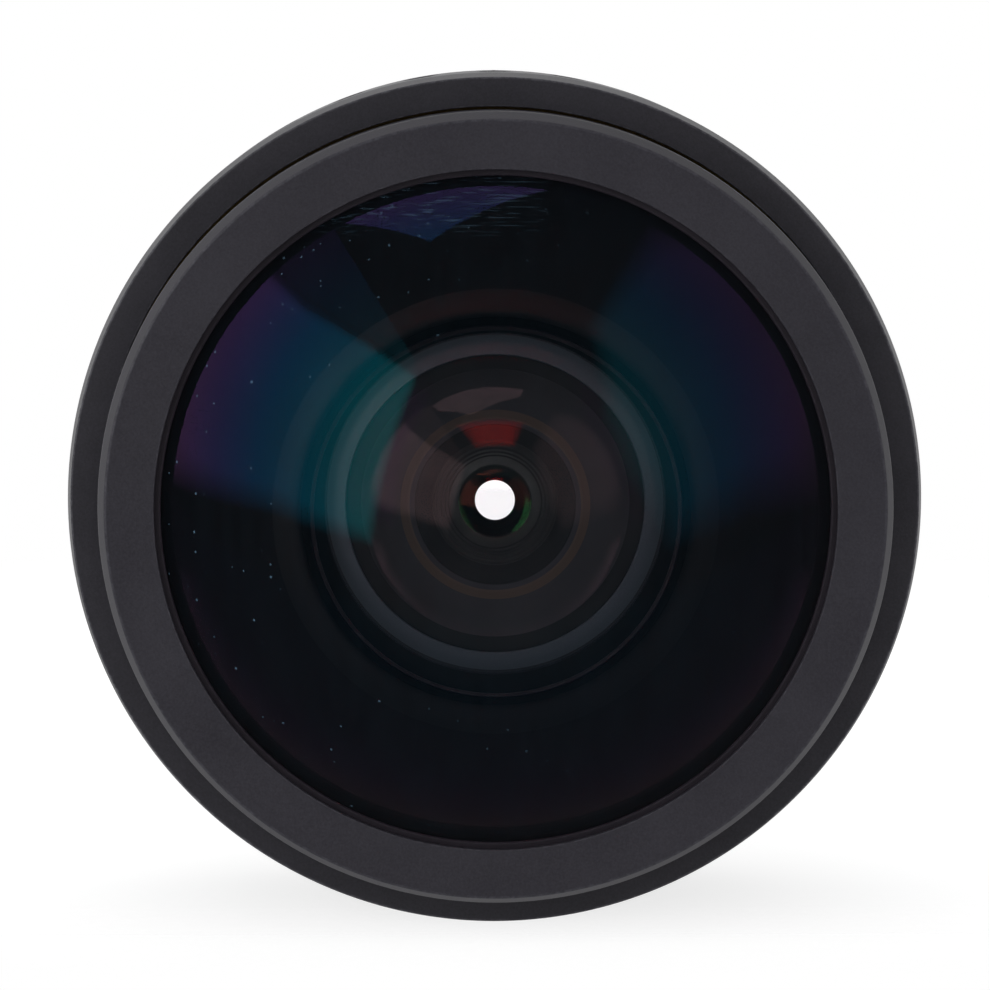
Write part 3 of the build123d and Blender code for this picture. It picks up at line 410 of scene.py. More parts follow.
def inked(name, dark, light, lit_through=False):
    """Black lens ink brushed on a ground rim: dull and a little cloudy."""
    material, tree = new_material(name)
    ink = add(tree, "ShaderNodeBsdfPrincipled", Base_Color=mottle(tree, 3.3333, 4.0, dark, light)[1],
              Roughness=0.7, IOR=1.45, Specular_IOR_Level=0.2).outputs[0]
    add(tree, "ShaderNodeOutputMaterial", Surface=lamps_pass(tree, ink) if lit_through else ink)
    return material


# The front ink is opaque to the camera. The lamps' straight shadow rays pass it, because the
# real light bends round it in the glass and reaches the grey ring behind.
lens_ink = inked("black_lens_ink", "0E0E11", "15151A")
front_ink = inked("black_lens_ink_front", "0F1013", "16171B", lit_through=True)

# The dome's film mirrors teal in the middle and violet towards the rim. The hollow's is thin
# and browner, and its lower index keeps the grey ring from being cut by total reflection.
front_glass = coated_glass("coated_front_glass", 1.62, 354.0, 1.34, "BCFFBC", dust_and_painted_tint=True)
hollow_glass = coated_glass("coated_hollow_of_front_glass", 1.54, 100.0, 1.38, "CBBCDA")
front_element = lens("front_element_glass", 41.6185, 32.0, 23.5, 38.419, 14.6, 13.6, 23.5,
                     rows=96, rear_finish=2)
for material in (front_glass, front_ink, hollow_glass):
    front_element.data.materials.append(material)
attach(front_element, "optical_block")
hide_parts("front_element")


# Front seal ring: a flat ring cut from black nitrile rubber, squeezed between the
# dome's rear rim and the focus barrel. It stays as the solid has it.
def dress(node, material):
    """Give a CAD node's own mesh a finish."""
    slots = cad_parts[node].data.materials
    slots.clear()
    slots.append(material)


# Cut nitrile is dull and faintly grained.
nitrile_rubber, tree = new_material("cut_nitrile_rubber")
grain, rubber_tone = mottle(tree, 0.4, 3.0, "131313", "1E1E1F")
rubber_bump = add(tree, "ShaderNodeBump", Height=grain, Strength=0.2, Distance=0.02 * MM)
rubber = add(tree, "ShaderNodeBsdfPrincipled", Base_Color=rubber_tone, Roughness=0.62, IOR=1.52,
             Normal=rubber_bump.outputs[0])
add(tree, "ShaderNodeOutputMaterial", Surface=rubber.outputs[0])
dress("front_seal_ring", nitrile_rubber)


# Front retaining ring: a thin threaded ring that holds the dome down on its seal. It is
# turned from aluminium, blasted and dyed a purplish black that throws little light back.
def eased(corners, ease=0.10):
    """An outline with its corners (radius, station, own ease) broken, and each point's wear."""
    points, wear, rounds = [], [], 3
    for place, corner in enumerate(corners):
        here = Vector(corner[:2])
        before = Vector(corners[place - 1][:2]) - here
        after = Vector(corners[(place + 1) % len(corners)][:2]) - here
        size = min(corner[2] if len(corner) > 2 else ease, before.length * 0.4, after.length * 0.4)
        start, end = here + before.normalized() * size, here + after.normalized() * size
        points.append(tuple(here + before.normalized() * size * 1.2))
        wear.append(0.0)
        for step in range(rounds + 1):
            share = step / rounds
            points.append(tuple(start * (1 - share) ** 2 + here * 2 * share * (1 - share)
                                + end * share ** 2))
            wear.append(1.0 if 0 < step < rounds else 0.4)
        points.append(tuple(here + after.normalized() * size * 1.2))
        wear.append(0.0)
    return points, wear


def grained(tree, grain, dark, light, smooth, rough):
    """The tone and the roughness that follow a pattern, from its low parts to its high ones."""
    spread = add(tree, "ShaderNodeMapRange", Value=grain, From_Min=0.3, From_Max=0.7)
    tone = add(tree, "ShaderNodeMix", {"data_type": "RGBA"}, n0=spread.outputs[0],
               n6=linear(dark), n7=linear(light))
    gloss = add(tree, "ShaderNodeMapRange", Value=grain, From_Min=0.3, From_Max=0.7,
                To_Min=smooth, To_Max=rough)
    return tone.outputs[2], gloss.outputs[0]


def anodised(name, dark, light, roughness, grit, depth, worn="6E6E74", wear_share=0.5):
    """Blasted and dyed aluminium: fine matt grain, edges rubbed paler; grit and depth in mm.

    Real blasting leaves pits of about 0.05 mm. They are drawn coarser, so that they show.
    """
    material, tree = new_material(name)
    place = add(tree, "ShaderNodeTexCoord").outputs["Object"]
    fine = add(tree, "ShaderNodeTexNoise", Vector=place, Scale=every(grit), Detail=2.0, Roughness=0.6)
    broad = add(tree, "ShaderNodeTexNoise", Vector=place, Scale=every(6.25), Detail=4.0, Roughness=0.6)
    both = add(tree, "ShaderNodeMix", {"data_type": "FLOAT"}, n0=0.35,
               n2=fine.outputs[0], n3=broad.outputs[0])
    tone, gloss = grained(tree, both.outputs[0], dark, light, roughness - 0.05, roughness + 0.06)
    edge = add(tree, "ShaderNodeAttribute", {"attribute_name": "wear"})
    rub = add(tree, "ShaderNodeTexNoise", Vector=place, Scale=every(0.3846), Detail=5.0, Roughness=0.7)
    rubbed = add(tree, "ShaderNodeMapRange", Value=rub.outputs[0], From_Min=0.42, From_Max=0.72,
                 To_Min=0.0, To_Max=wear_share)
    bare = add(tree, "ShaderNodeMath", {"operation": "MULTIPLY"},
               n0=edge.outputs["Fac"], n1=rubbed.outputs[0])
    colour = add(tree, "ShaderNodeMix", {"data_type": "RGBA"}, n0=bare.outputs[0], n6=tone, n7=linear(worn))
    bump = add(tree, "ShaderNodeBump", Height=fine.outputs[0], Strength=1.0, Distance=depth * MM)
    skin = add(tree, "ShaderNodeBsdfPrincipled", Base_Color=colour.outputs[2], Roughness=gloss, IOR=1.5,
               Normal=bump.outputs[0])
    add(tree, "ShaderNodeOutputMaterial", Surface=skin.outputs[0])
    return material


purplish_black = anodised("blasted_purplish_black_anodise", "211B25", "2A222E", 0.5, 0.2, 0.012,
                          worn="3A343E")
outline, marks = eased([(23.05, 31.07, 0.05), (23.05, 32.078, 0.15), (24.80, 32.078), (24.80, 31.168),
                        (23.53, 31.168, 0.05), (23.53, 30.72, 0.05)], 0.06)
front_retaining_ring = turned("retaining_ring", outline, marks=marks)
front_retaining_ring.data.materials.append(purplish_black)
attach(front_retaining_ring, "optical_block")
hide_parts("front_retaining_ring")


# Front bezel: the broad satin rim round the glass, with the land for a slip-on cap. It is
# turned from aluminium, bead blasted and anodised black, and screwed on the focus barrel.
satin_black = anodised("bead_blasted_black_anodise", "2E2C34", "3C3A43", 0.46, 0.16, 0.010,
                       worn="6A6A72", wear_share=0.35)
outline, marks = eased([(26.30, 25.50), (26.90, 25.50), (26.90, 26.508), (27.44, 26.508),
                        (27.44, 31.258, 0.16), (26.88, 32.598, 0.14), (23.48, 32.598, 0.10),
                        (23.48, 32.098, 0.08), (26.30, 32.098, 0.05)])
front_bezel = turned("bezel", outline, marks=marks)
front_bezel.data.materials.append(satin_black)
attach(front_bezel, "optical_block")
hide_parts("front_bezel")


# Focus barrel: the sliding barrel under the rings, with the head that carries the glass,
# the helicoid land and the keyed skirt. Turned aluminium, dyed dead black inside and out.
dead_black = anodised("blasted_dead_black_anodise", "0C0C0E", "121215", 0.6, 0.2, 0.012, worn="2A2A2E")
dress("focus_barrel", dead_black)


# Focus ring: the wide grip with thirty-six milled flutes, a plain front band and a short
# taper. Blasted and anodised like the bezel, a shade darker and more handled.
def into_rows(outline, marks, start, end, count):
    """Add points along the outline's straight outer run between two stations."""
    place = next(i for i in range(len(outline)) if outline[i][1] < start < end < outline[i + 1][1])
    radius = outline[place][0]
    added = [(radius, start + (end - start) * step / count) for step in range(count + 1)]
    return (outline[:place + 1] + added + outline[place + 1:],
            marks[:place + 1] + [0.0] * len(added) + marks[place + 1:])


def node_group(name, inputs):
    """A Geometry Nodes tree with a mesh in and out, its named inputs and their sockets."""
    group = bpy.data.node_groups.new(name, "GeometryNodeTree")
    group.interface.new_socket("Geometry", in_out="INPUT", socket_type="NodeSocketGeometry")
    for label, kind in inputs:
        group.interface.new_socket(label, in_out="INPUT", socket_type=kind)
    group.interface.new_socket("Geometry", in_out="OUTPUT", socket_type="NodeSocketGeometry")
    return group, group.nodes.new("NodeGroupInput").outputs


# Each point of the outer skin is pulled towards the axis, down to the wall of the nearest
# cutter: a cylinder along the axis with round ends, on the cutter circle outside the ring.
fluting, given = node_group("milled_flutes", [
    ("Flutes", "NodeSocketInt"), ("Cutter Radius", "NodeSocketFloat"), ("Cutter Circle", "NodeSocketFloat"),
    ("Start", "NodeSocketFloat"), ("End", "NodeSocketFloat"), ("Material", "NodeSocketMaterial")])
spot, reach = from_axis(fluting, add(fluting, "GeometryNodeInputPosition").outputs[0])
angle = add(fluting, "ShaderNodeMath", {"operation": "ARCTAN2"}, n0=spot["Z"], n1=spot["X"])
turns = add(fluting, "ShaderNodeMath", {"operation": "DIVIDE"}, n0=angle.outputs[0], n1=2 * math.pi)
count = add(fluting, "ShaderNodeMath", {"operation": "MULTIPLY"}, n0=turns.outputs[0], n1=given["Flutes"])
nearest = add(fluting, "ShaderNodeMath", {"operation": "ROUND"}, n0=count.outputs[0])
off = add(fluting, "ShaderNodeMath", {"operation": "SUBTRACT"}, n0=count.outputs[0], n1=nearest.outputs[0])
pitch = add(fluting, "ShaderNodeMath", {"operation": "DIVIDE"}, n0=2 * math.pi, n1=given["Flutes"])
swing = add(fluting, "ShaderNodeMath", {"operation": "MULTIPLY"}, n0=off.outputs[0], n1=pitch.outputs[0])
sine = add(fluting, "ShaderNodeMath", {"operation": "SINE"}, n0=swing.outputs[0])
cosine = add(fluting, "ShaderNodeMath", {"operation": "COSINE"}, n0=swing.outputs[0])
across = add(fluting, "ShaderNodeMath", {"operation": "MULTIPLY"},
             n0=sine.outputs[0], n1=given["Cutter Circle"])
station = add(fluting, "ShaderNodeMath", {"operation": "MULTIPLY"}, n0=spot["Y"], n1=-1.0)
low = add(fluting, "ShaderNodeMath", {"operation": "ADD"}, n0=given["Start"], n1=given["Cutter Radius"])
high = add(fluting, "ShaderNodeMath", {"operation": "SUBTRACT"}, n0=given["End"], n1=given["Cutter Radius"])
short = add(fluting, "ShaderNodeMath", {"operation": "SUBTRACT"}, n0=low.outputs[0], n1=station.outputs[0])
past = add(fluting, "ShaderNodeMath", {"operation": "SUBTRACT"}, n0=station.outputs[0], n1=high.outputs[0])
worse = add(fluting, "ShaderNodeMath", {"operation": "MAXIMUM"}, n0=short.outputs[0], n1=past.outputs[0])
along = add(fluting, "ShaderNodeMath", {"operation": "MAXIMUM"}, n0=worse.outputs[0], n1=0.0)
across2 = add(fluting, "ShaderNodeMath", {"operation": "MULTIPLY"},
              n0=across.outputs[0], n1=across.outputs[0])
along2 = add(fluting, "ShaderNodeMath", {"operation": "MULTIPLY"}, n0=along.outputs[0], n1=along.outputs[0])
cutter2 = add(fluting, "ShaderNodeMath", {"operation": "MULTIPLY"},
              n0=given["Cutter Radius"], n1=given["Cutter Radius"])
left = add(fluting, "ShaderNodeMath", {"operation": "SUBTRACT"},
           n0=cutter2.outputs[0], n1=across2.outputs[0])
room = add(fluting, "ShaderNodeMath", {"operation": "SUBTRACT"}, n0=left.outputs[0], n1=along2.outputs[0])
open_room = add(fluting, "ShaderNodeMath", {"operation": "MAXIMUM"}, n0=room.outputs[0], n1=0.0)
depth = add(fluting, "ShaderNodeMath", {"operation": "SQRT"}, n0=open_room.outputs[0])
axis_reach = add(fluting, "ShaderNodeMath", {"operation": "MULTIPLY"},
                 n0=cosine.outputs[0], n1=given["Cutter Circle"])
floor_reach = add(fluting, "ShaderNodeMath", {"operation": "SUBTRACT"},
                  n0=axis_reach.outputs[0], n1=depth.outputs[0])
lower = add(fluting, "ShaderNodeMath", {"operation": "DIVIDE"}, n0=floor_reach.outputs[0], n1=reach)
inwards = add(fluting, "ShaderNodeMath", {"operation": "MINIMUM"}, n0=lower.outputs[0], n1=1.0)
cut = add(fluting, "ShaderNodeMath", {"operation": "GREATER_THAN"}, n0=room.outputs[0], n1=0.0)
scale = add(fluting, "ShaderNodeMix", {"data_type": "FLOAT"}, n0=cut.outputs[0],
            n2=1.0, n3=inwards.outputs[0])
deepest = add(fluting, "ShaderNodeMath", {"operation": "SUBTRACT"},
              n0=given["Cutter Circle"], n1=given["Cutter Radius"])
near_skin = add(fluting, "ShaderNodeMath", {"operation": "GREATER_THAN"}, n0=reach, n1=deepest.outputs[0])
pull = add(fluting, "ShaderNodeCombineXYZ", X=scale.outputs[0], Y=1.0, Z=scale.outputs[0])
pulled = add(fluting, "ShaderNodeVectorMath", {"operation": "MULTIPLY"},
             n0=add(fluting, "GeometryNodeInputPosition").outputs[0], n1=pull.outputs[0])
moved = add(fluting, "GeometryNodeSetPosition", Geometry=given["Geometry"], Selection=near_skin.outputs[0],
            Position=pulled.outputs[0])
real = add(fluting, "GeometryNodeRealizeInstances", Geometry=moved.outputs[0])
coated = add(fluting, "GeometryNodeSetMaterial", Geometry=real.outputs[0], Material=given["Material"])
add(fluting, "NodeGroupOutput", n0=coated.outputs[0])


def plain_mesh(thing):
    """The mesh that an object comes to, its modifiers included."""
    bpy.context.view_layer.update()
    return bpy.data.meshes.new_from_object(thing.evaluated_get(bpy.context.evaluated_depsgraph_get()))


def apply_modifiers(piece):
    """Make the piece's modifiers part of its mesh."""
    made = plain_mesh(piece)
    piece.modifiers.clear()
    piece.data = made
    made.name = piece.name


def grow(piece, group, values):
    """Run the tree on the piece and keep what it makes."""
    modifier = piece.modifiers.new(group.name, "NODES")
    modifier.node_group = group
    for item in group.interface.items_tree:
        if item.name in values:
            modifier[item.identifier] = values[item.name]
    apply_modifiers(piece)


# Copies of a piece at even angles round the optical axis.
repeating, given = node_group("repeated_round_the_axis", [
    ("Count", "NodeSocketInt"), ("First", "NodeSocketFloat"), ("Step", "NodeSocketFloat"),
    ("Material", "NodeSocketMaterial")])
line = add(repeating, "GeometryNodeMeshLine", Count=given["Count"], Offset=(0.0, 0.0, 0.0))
place = add(repeating, "GeometryNodeInputIndex").outputs[0]
turn = add(repeating, "ShaderNodeMath", {"operation": "MULTIPLY_ADD"},
           n0=place, n1=given["Step"], n2=given["First"])
back = add(repeating, "ShaderNodeMath", {"operation": "MULTIPLY"}, n0=turn.outputs[0], n1=-1.0)
aim = add(repeating, "ShaderNodeCombineXYZ", Y=back.outputs[0])
copies = add(repeating, "GeometryNodeInstanceOnPoints", Points=line.outputs[0], Instance=given["Geometry"],
             Rotation=aim.outputs[0])
real = add(repeating, "GeometryNodeRealizeInstances", Geometry=copies.outputs[0])
coated = add(repeating, "GeometryNodeSetMaterial", Geometry=real.outputs[0], Material=given["Material"])
add(repeating, "NodeGroupOutput", n0=coated.outputs[0])


def radial_hole(name, radius, station, bottom, top, sides=32):
    """A drill (or with six sides a hex key) standing outwards at angle 0, in mm."""
    ring = [(radius * math.cos(2 * math.pi * i / sides), radius * math.sin(2 * math.pi * i / sides))
            for i in range(sides)]
    corners = [Vector((level, v - station, u)) * MM for level in (bottom, top) for u, v in ring]
    ends = [list(range(sides)), list(range(sides, 2 * sides))]
    walls = [[i, (i + 1) % sides, sides + (i + 1) % sides, sides + i] for i in range(sides)]
    mesh = bpy.data.meshes.new(name)
    mesh.from_pydata(corners, [], ends + walls)
    return finished(name, mesh)


def cut_from(piece, cutter, count, first, material):
    """Take the cutter away at even places round the axis, the first one in degrees."""
    grow(cutter, repeating, {"Count": count, "First": math.radians(first), "Step": 2 * math.pi / count,
                             "Material": material})
    away = piece.modifiers.new("cut", "BOOLEAN")
    away.operation, away.solver, away.object = "DIFFERENCE", "EXACT", cutter
    apply_modifiers(piece)
    bpy.data.objects.remove(cutter)
    piece.data.set_sharp_from_angle(angle=math.radians(SHARP))


# Three grub screws a ring, the first 60 degrees round, each in a drilled hole.
SCREWS, SCREW_ANGLE, SCREW_RADIUS, HEX_RADIUS = 3, 60, 0.68, 0.40
DRILL_RADIUS, FOCUS_SCREW_STATION = SCREW_RADIUS + 0.02, 23.75
FOCUS_REAR, FOCUS_FRONT, TAPER_START, FOCUS_RADIUS = 15.55, 26.348, 24.748, 29.97
FLUTES, FLUTE_START, FLUTE_END, FLUTE_CUTTER, FLUTE_CIRCLE = 36, 16.55, 22.75, 1.5, 31.0
outline, marks = eased([(28.20, FOCUS_REAR, 0.05), (FOCUS_RADIUS, FOCUS_REAR, 0.2),
                        (FOCUS_RADIUS, TAPER_START, 0.12), (29.65, FOCUS_FRONT, 0.12),
                        (27.60, FOCUS_FRONT, 0.12), (27.60, 25.22, 0.05), (28.20, 25.22, 0.05)])
outline, marks = into_rows(outline, marks, FLUTE_START - 0.1, FLUTE_END + 0.1, 28)
focus_ring = turned("focus_grip_ring", outline, steps=FLUTES * 16, marks=marks)
grip_black = anodised("blasted_black_anodise_handled", "313036", "3F3D45", 0.42, 0.16, 0.010, worn="7A7A82")
grow(focus_ring, fluting, {
    "Flutes": FLUTES, "Cutter Radius": FLUTE_CUTTER * MM, "Cutter Circle": FLUTE_CIRCLE * MM,
    "Start": FLUTE_START * MM, "End": FLUTE_END * MM, "Material": grip_black})
cut_from(focus_ring, radial_hole("focus_drill", DRILL_RADIUS, FOCUS_SCREW_STATION, 28.0, 31.0),
         SCREWS, SCREW_ANGLE, grip_black)
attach(focus_ring, "focus_group")
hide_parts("focus_ring")


# Helicoid sleeve, its guide screws and the grip ring's grub screws. The sleeve is turned
# from brass, greased, and turns on the fixed barrel; its thread drives the focus barrel.
def metal(name, dark, light, roughness, groove, depth, axis_turned=True):
    """Bare or plated metal with fine tool marks, turned or ground; groove and depth in mm."""
    material, tree = new_material(name)
    place = add(tree, "ShaderNodeTexCoord").outputs["Object"]
    split, reach = from_axis(tree, place)
    rings = add(tree, "ShaderNodeCombineXYZ", X=reach, Y=split["Y"])
    tool = add(tree, "ShaderNodeTexNoise", Vector=rings.outputs[0] if axis_turned else place,
               Scale=every(groove), Detail=3.0, Roughness=0.6)
    cloud = add(tree, "ShaderNodeTexNoise", Vector=place, Scale=every(4.5455), Detail=4.0)
    both = add(tree, "ShaderNodeMix", {"data_type": "FLOAT"}, n0=0.25,
               n2=tool.outputs[0], n3=cloud.outputs[0])
    tone, gloss = grained(tree, both.outputs[0], dark, light, roughness - 0.06, roughness + 0.08)
    bump = add(tree, "ShaderNodeBump", Height=tool.outputs[0], Strength=1.0, Distance=depth * MM)
    skin = add(tree, "ShaderNodeBsdfPrincipled", Base_Color=tone, Metallic=1.0, Roughness=gloss,
               Normal=bump.outputs[0])
    add(tree, "ShaderNodeOutputMaterial", Surface=skin.outputs[0])
    return material


# Turned brass shows warm yellow tool rings, nickel a soft pale shine, black oxide a dark one.
turned_brass = metal("turned_brass", "A98A4E", "C9AC6C", 0.32, 0.05, 0.004)
nickel_steel = metal("nickel_plated_steel", "9C9B96", "BDBCB8", 0.28, 0.08, 0.003, axis_turned=False)
black_oxide = metal("black_oxide_steel", "141416", "202023", 0.42, 0.10, 0.004, axis_turned=False)
dress("focus_helicoid", turned_brass)
dress("focus_guide_screws", nickel_steel)


# Fixed barrel: the main body of the lens, with the rear band, the aperture journal and the
# focus journal. Turned aluminium, blasted and anodised black; a red bead marks its top.
def rounded(node, material, body, bevel=0.08):
    """A copy of a CAD node with merged, smoothly shaded faces and edges softened by mm."""
    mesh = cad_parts[node].data.copy()
    mesh.materials.clear()
    work = bmesh.new()
    work.from_mesh(mesh)
    bmesh.ops.remove_doubles(work, verts=work.verts, dist=1e-6)
    bmesh.ops.dissolve_limit(work, angle_limit=math.radians(0.4), verts=work.verts, edges=work.edges)
    work.to_mesh(mesh)
    work.free()
    mesh.materials.append(material)
    mesh.name = "dressed_" + node
    mesh.shade_smooth()
    mesh.set_sharp_from_angle(angle=math.radians(SHARP))
    piece = placed("dressed_" + node, mesh)
    if bevel:
        soften = piece.modifiers.new("broken_edges", "BEVEL")
        soften.width = bevel * MM
        soften.segments = 2
        soften.limit_method = "ANGLE"
        soften.angle_limit = math.radians(SHARP)
        weigh = piece.modifiers.new("flat_faces_stay_flat", "WEIGHTED_NORMAL")
        weigh.keep_sharp = True
        weigh.weight = 100
        apply_modifiers(piece)
    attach(piece, body)
    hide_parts(node)
    return piece


focus_set_screws = rounded("focus_set_screws", black_oxide, "focus_group", bevel=0.06)
cut_from(focus_set_screws, radial_hole("hex_key", HEX_RADIUS, FOCUS_SCREW_STATION, 29.1, 31.0, sides=6),
         SCREWS, SCREW_ANGLE, black_oxide)
# The body's dye is darker than the grips' and less handled.
body_black = anodised("blasted_black_anodise_body", "232326", "2C2C31", 0.44, 0.16, 0.010, worn="74747A")
rounded("main_barrel", body_black, "fixed_barrel", bevel=0.0)
# Enamel is glossy, with the least flow in its red.
red_enamel, tree = new_material("red_enamel")
enamel = add(tree, "ShaderNodeBsdfPrincipled", Base_Color=mottle(tree, 0.6667, 2.0, "A31612", "BE211A")[1],
             Roughness=0.22, IOR=1.5, Coat_Weight=0.4)
add(tree, "ShaderNodeOutputMaterial", Surface=enamel.outputs[0])
dress("mount_index_bead", red_enamel)
dress("guide_pins", nickel_steel)


# Index ring: the narrow fixed ring between the two turning rings, of the same aluminium as
# the body. Three grub screws hold it, and the index line and depth scale are engraved in it.
INDEX_RADIUS, INDEX_REAR, INDEX_FRONT, INDEX_BORE, INDEX_SCREW_STATION = 29.57, 11.62, 15.40, 27.02, 13.5
outline, marks = eased([(INDEX_BORE, INDEX_REAR, 0.05), (INDEX_RADIUS, INDEX_REAR, 0.2),
                        (INDEX_RADIUS, INDEX_FRONT, 0.2), (INDEX_BORE, INDEX_FRONT, 0.05)])
index_ring = turned("index_ring_body", outline, marks=marks)
index_ring.data.materials.append(body_black)
cut_from(index_ring, radial_hole("index_drill", DRILL_RADIUS, INDEX_SCREW_STATION, 26.5, 31.0),
         SCREWS, SCREW_ANGLE, body_black)
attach(index_ring, "fixed_barrel")
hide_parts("index_ring")
index_set_screws = rounded("index_set_screws", black_oxide, "fixed_barrel", bevel=0.06)
index_hex_key = radial_hole("index_hex_key", HEX_RADIUS, INDEX_SCREW_STATION, 28.7, 31.0, sides=6)
cut_from(index_set_screws, index_hex_key, SCREWS, SCREW_ANGLE, black_oxide)

# The filling in the engraved scales is a chalky white paint.
white_filling, tree = new_material("white_paint_in_engraving")
paint = add(tree, "ShaderNodeBsdfPrincipled", Base_Color=mottle(tree, 0.25, 3.0, "BFBEB8", "DAD9D3")[1],
            Roughness=0.6, IOR=1.5)
add(tree, "ShaderNodeOutputMaterial", Surface=paint.outputs[0])


def lettering(name, labels, radius, height, lines, body):
    """Filled engraving on a turned surface.

    Labels are (text, angle, station) and lines (angle, from, to, width); degrees and mm.
    """
    vertices, faces = [], []
    for words, angle, station in labels:
        curve = bpy.data.curves.new(name, "FONT")
        curve.body, curve.size, curve.align_x, curve.align_y = words, height, "CENTER", "CENTER"
        curve.resolution_u = 5
        drawn = placed(name, curve)
        flat = plain_mesh(drawn)
        bpy.data.objects.remove(drawn)
        first = len(vertices)
        for corner in flat.vertices:
            turn = math.radians(angle) + corner.co.x / radius
            vertices.append((radius * math.cos(turn), -station - corner.co.y, radius * math.sin(turn)))
        faces += [[first + v for v in face.vertices] for face in flat.polygons]
    for angle, start, end, width in lines:
        first, half = len(vertices), width / 2 / radius
        for turn, station in ((-half, start), (half, start), (half, end), (-half, end)):
            turn += math.radians(angle)
            vertices.append((radius * math.cos(turn), -station, radius * math.sin(turn)))
        faces.append([first, first + 1, first + 2, first + 3])
    mesh = bpy.data.meshes.new(name)
    mesh.from_pydata([Vector(corner) * MM for corner in vertices], [], faces)
    work = bmesh.new()
    work.from_mesh(mesh)
    for face in work.faces:
        middle = face.calc_center_median()
        if face.normal.dot(Vector((middle.x, 0, middle.z))) < 0:
            face.normal_flip()
    work.to_mesh(mesh)
    work.free()
    mesh.materials.append(white_filling)
    piece = placed(name, mesh)
    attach(piece, body)


# The index stands at the top, between depth marks in f-numbers; INLAY is how proud the paint is.
INLAY, TOP = 0.012, 90
DEPTH_MARKS = (("8", 7), ("16", 14), ("22", 21))
both_sides = [(words, TOP + side * turn) for words, turn in DEPTH_MARKS for side in (-1, 1)]
lettering("index_marks", [(words, angle, 13.0) for words, angle in both_sides], INDEX_RADIUS + INLAY, 1.25,
          [(TOP, 11.85, 15.15, 0.28)] + [(angle, 14.2, 15.15, 0.16) for words, angle in both_sides],
          "fixed_barrel")

# Distances in metres, and where each stands in degrees. 0.3 has a tick alone, since a grub
# screw stands where its number would.
DISTANCES = (("0.1", 85), ("0.15", 56), ("0.2", 42), ("", 28), ("0.5", 17), ("1", 8.4), ("\u221e", 0))
lettering("focus_scale", [(words, TOP - turn, 23.62) for words, turn in DISTANCES if words],
          FOCUS_RADIUS + INLAY, 1.45, [(TOP - turn, 15.80, 16.45, 0.2) for words, turn in DISTANCES],
          "focus_group")


# Aperture ring: turned aluminium, blasted and anodised black like the focus ring. It turns
# without stops, has forty-eight small flutes at its rear edge, and takes the iris's drive pin.
APERTURE_REAR, APERTURE_FRONT, APERTURE_RADIUS, APERTURE_BORE = 5.35, 11.55, 29.57, 27.05
SMALL_FLUTES, SMALL_START, SMALL_END, SMALL_CUTTER, SMALL_CIRCLE = 48, 3.0, 8.45, 1.1, 30.3
PIN_RADIUS, PIN_STATION, PIN_ANGLE = 0.80, 8.45, -111
outline, marks = eased([(APERTURE_BORE, APERTURE_REAR, 0.05), (APERTURE_RADIUS, APERTURE_REAR, 0.2),
                        (APERTURE_RADIUS, APERTURE_FRONT, 0.2), (APERTURE_BORE, APERTURE_FRONT, 0.05)])
outline, marks = into_rows(outline, marks, APERTURE_REAR + 0.3, SMALL_END + 0.15, 18)
aperture_ring = turned("aperture_grip_ring", outline, steps=SMALL_FLUTES * 12, marks=marks)
grow(aperture_ring, fluting, {
    "Flutes": SMALL_FLUTES, "Cutter Radius": SMALL_CUTTER * MM, "Cutter Circle": SMALL_CIRCLE * MM,
    "Start": SMALL_START * MM, "End": SMALL_END * MM, "Material": grip_black})
cut_from(aperture_ring, radial_hole("pin_drill", PIN_RADIUS, PIN_STATION, 26.5, 31.0),
         1, PIN_ANGLE, grip_black)
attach(aperture_ring, "aperture_group")
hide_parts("aperture_ring")
dress("aperture_drive_pin", nickel_steel)
STOPS, STOP_STEP = ("2.8", "4", "5.6", "8", "11", "16", "22"), 7
lettering("aperture_scale", [(words, TOP - STOP_STEP * place, 9.75) for place, words in enumerate(STOPS)],
          APERTURE_RADIUS + INLAY, 1.35,
          [(TOP - STOP_STEP * place, 10.75, 11.3, 0.18) for place in range(len(STOPS))],
          "aperture_group")


# Front cell: the long black cell of the second and third elements, turned from aluminium and
# screwed into the web of the focus barrel. Its flange shows, very dark, round the grey ring.
dress("front_cell", dead_black)


# Second element: a strong negative meniscus, ground and polished, coated on both faces and
# held by the grey ring. Its rim and the rim of its hollow show as faint circles inside it.
second_element = lens("second_element_glass", 28.452, 99.33, 13.0, 26.652, 8.786, 7.2, 13.0, rear_finish=2)
second_glass = coated_glass("coated_second_glass", 1.639, 107.0, 1.28, "CBA0BC", haze=0.012)
second_hollow = coated_glass("coated_hollow_of_second_glass", 1.639, 100.0, 1.28, "CB7C7C")

# Its rear rim in three zones: a bare ground bevel at the hollow, its warm brown partly a
# painted reflection of the table, thin grey ink, and thick ink under the ring. Radii in mm.
BEVEL_END, THICK_START = 7.80, 11.30
zoned_ink, tree = new_material("second_element_bevel_painted_reflection_and_ink")
reach = from_axis(tree, add(tree, "ShaderNodeTexCoord").outputs["Object"])[1]
thin_ink = mottle(tree, 3.3333, 4.0, "4E4E57", "5D5D68")[1]
ground = add(tree, "ShaderNodeMath", {"operation": "LESS_THAN"}, n0=reach, n1=BEVEL_END * MM)
thick = add(tree, "ShaderNodeMath", {"operation": "GREATER_THAN"}, n0=reach, n1=THICK_START * MM)
# The bevel's pale warm brown is partly a painted reflection of the table; the ground bevel itself is real.
bevel_with_painted_reflection = add(tree, "ShaderNodeMix", {"data_type": "RGBA"}, n0=ground.outputs[0],
               n6=thin_ink, n7=linear("8A7468"))
zones = add(tree, "ShaderNodeMix", {"data_type": "RGBA"}, n0=thick.outputs[0],
            n6=bevel_with_painted_reflection.outputs[2], n7=linear("1A2026"))
ink = add(tree, "ShaderNodeBsdfPrincipled", Base_Color=zones.outputs[2], Roughness=0.65, IOR=1.45,
          Specular_IOR_Level=0.2)
add(tree, "ShaderNodeOutputMaterial", Surface=ink.outputs[0])
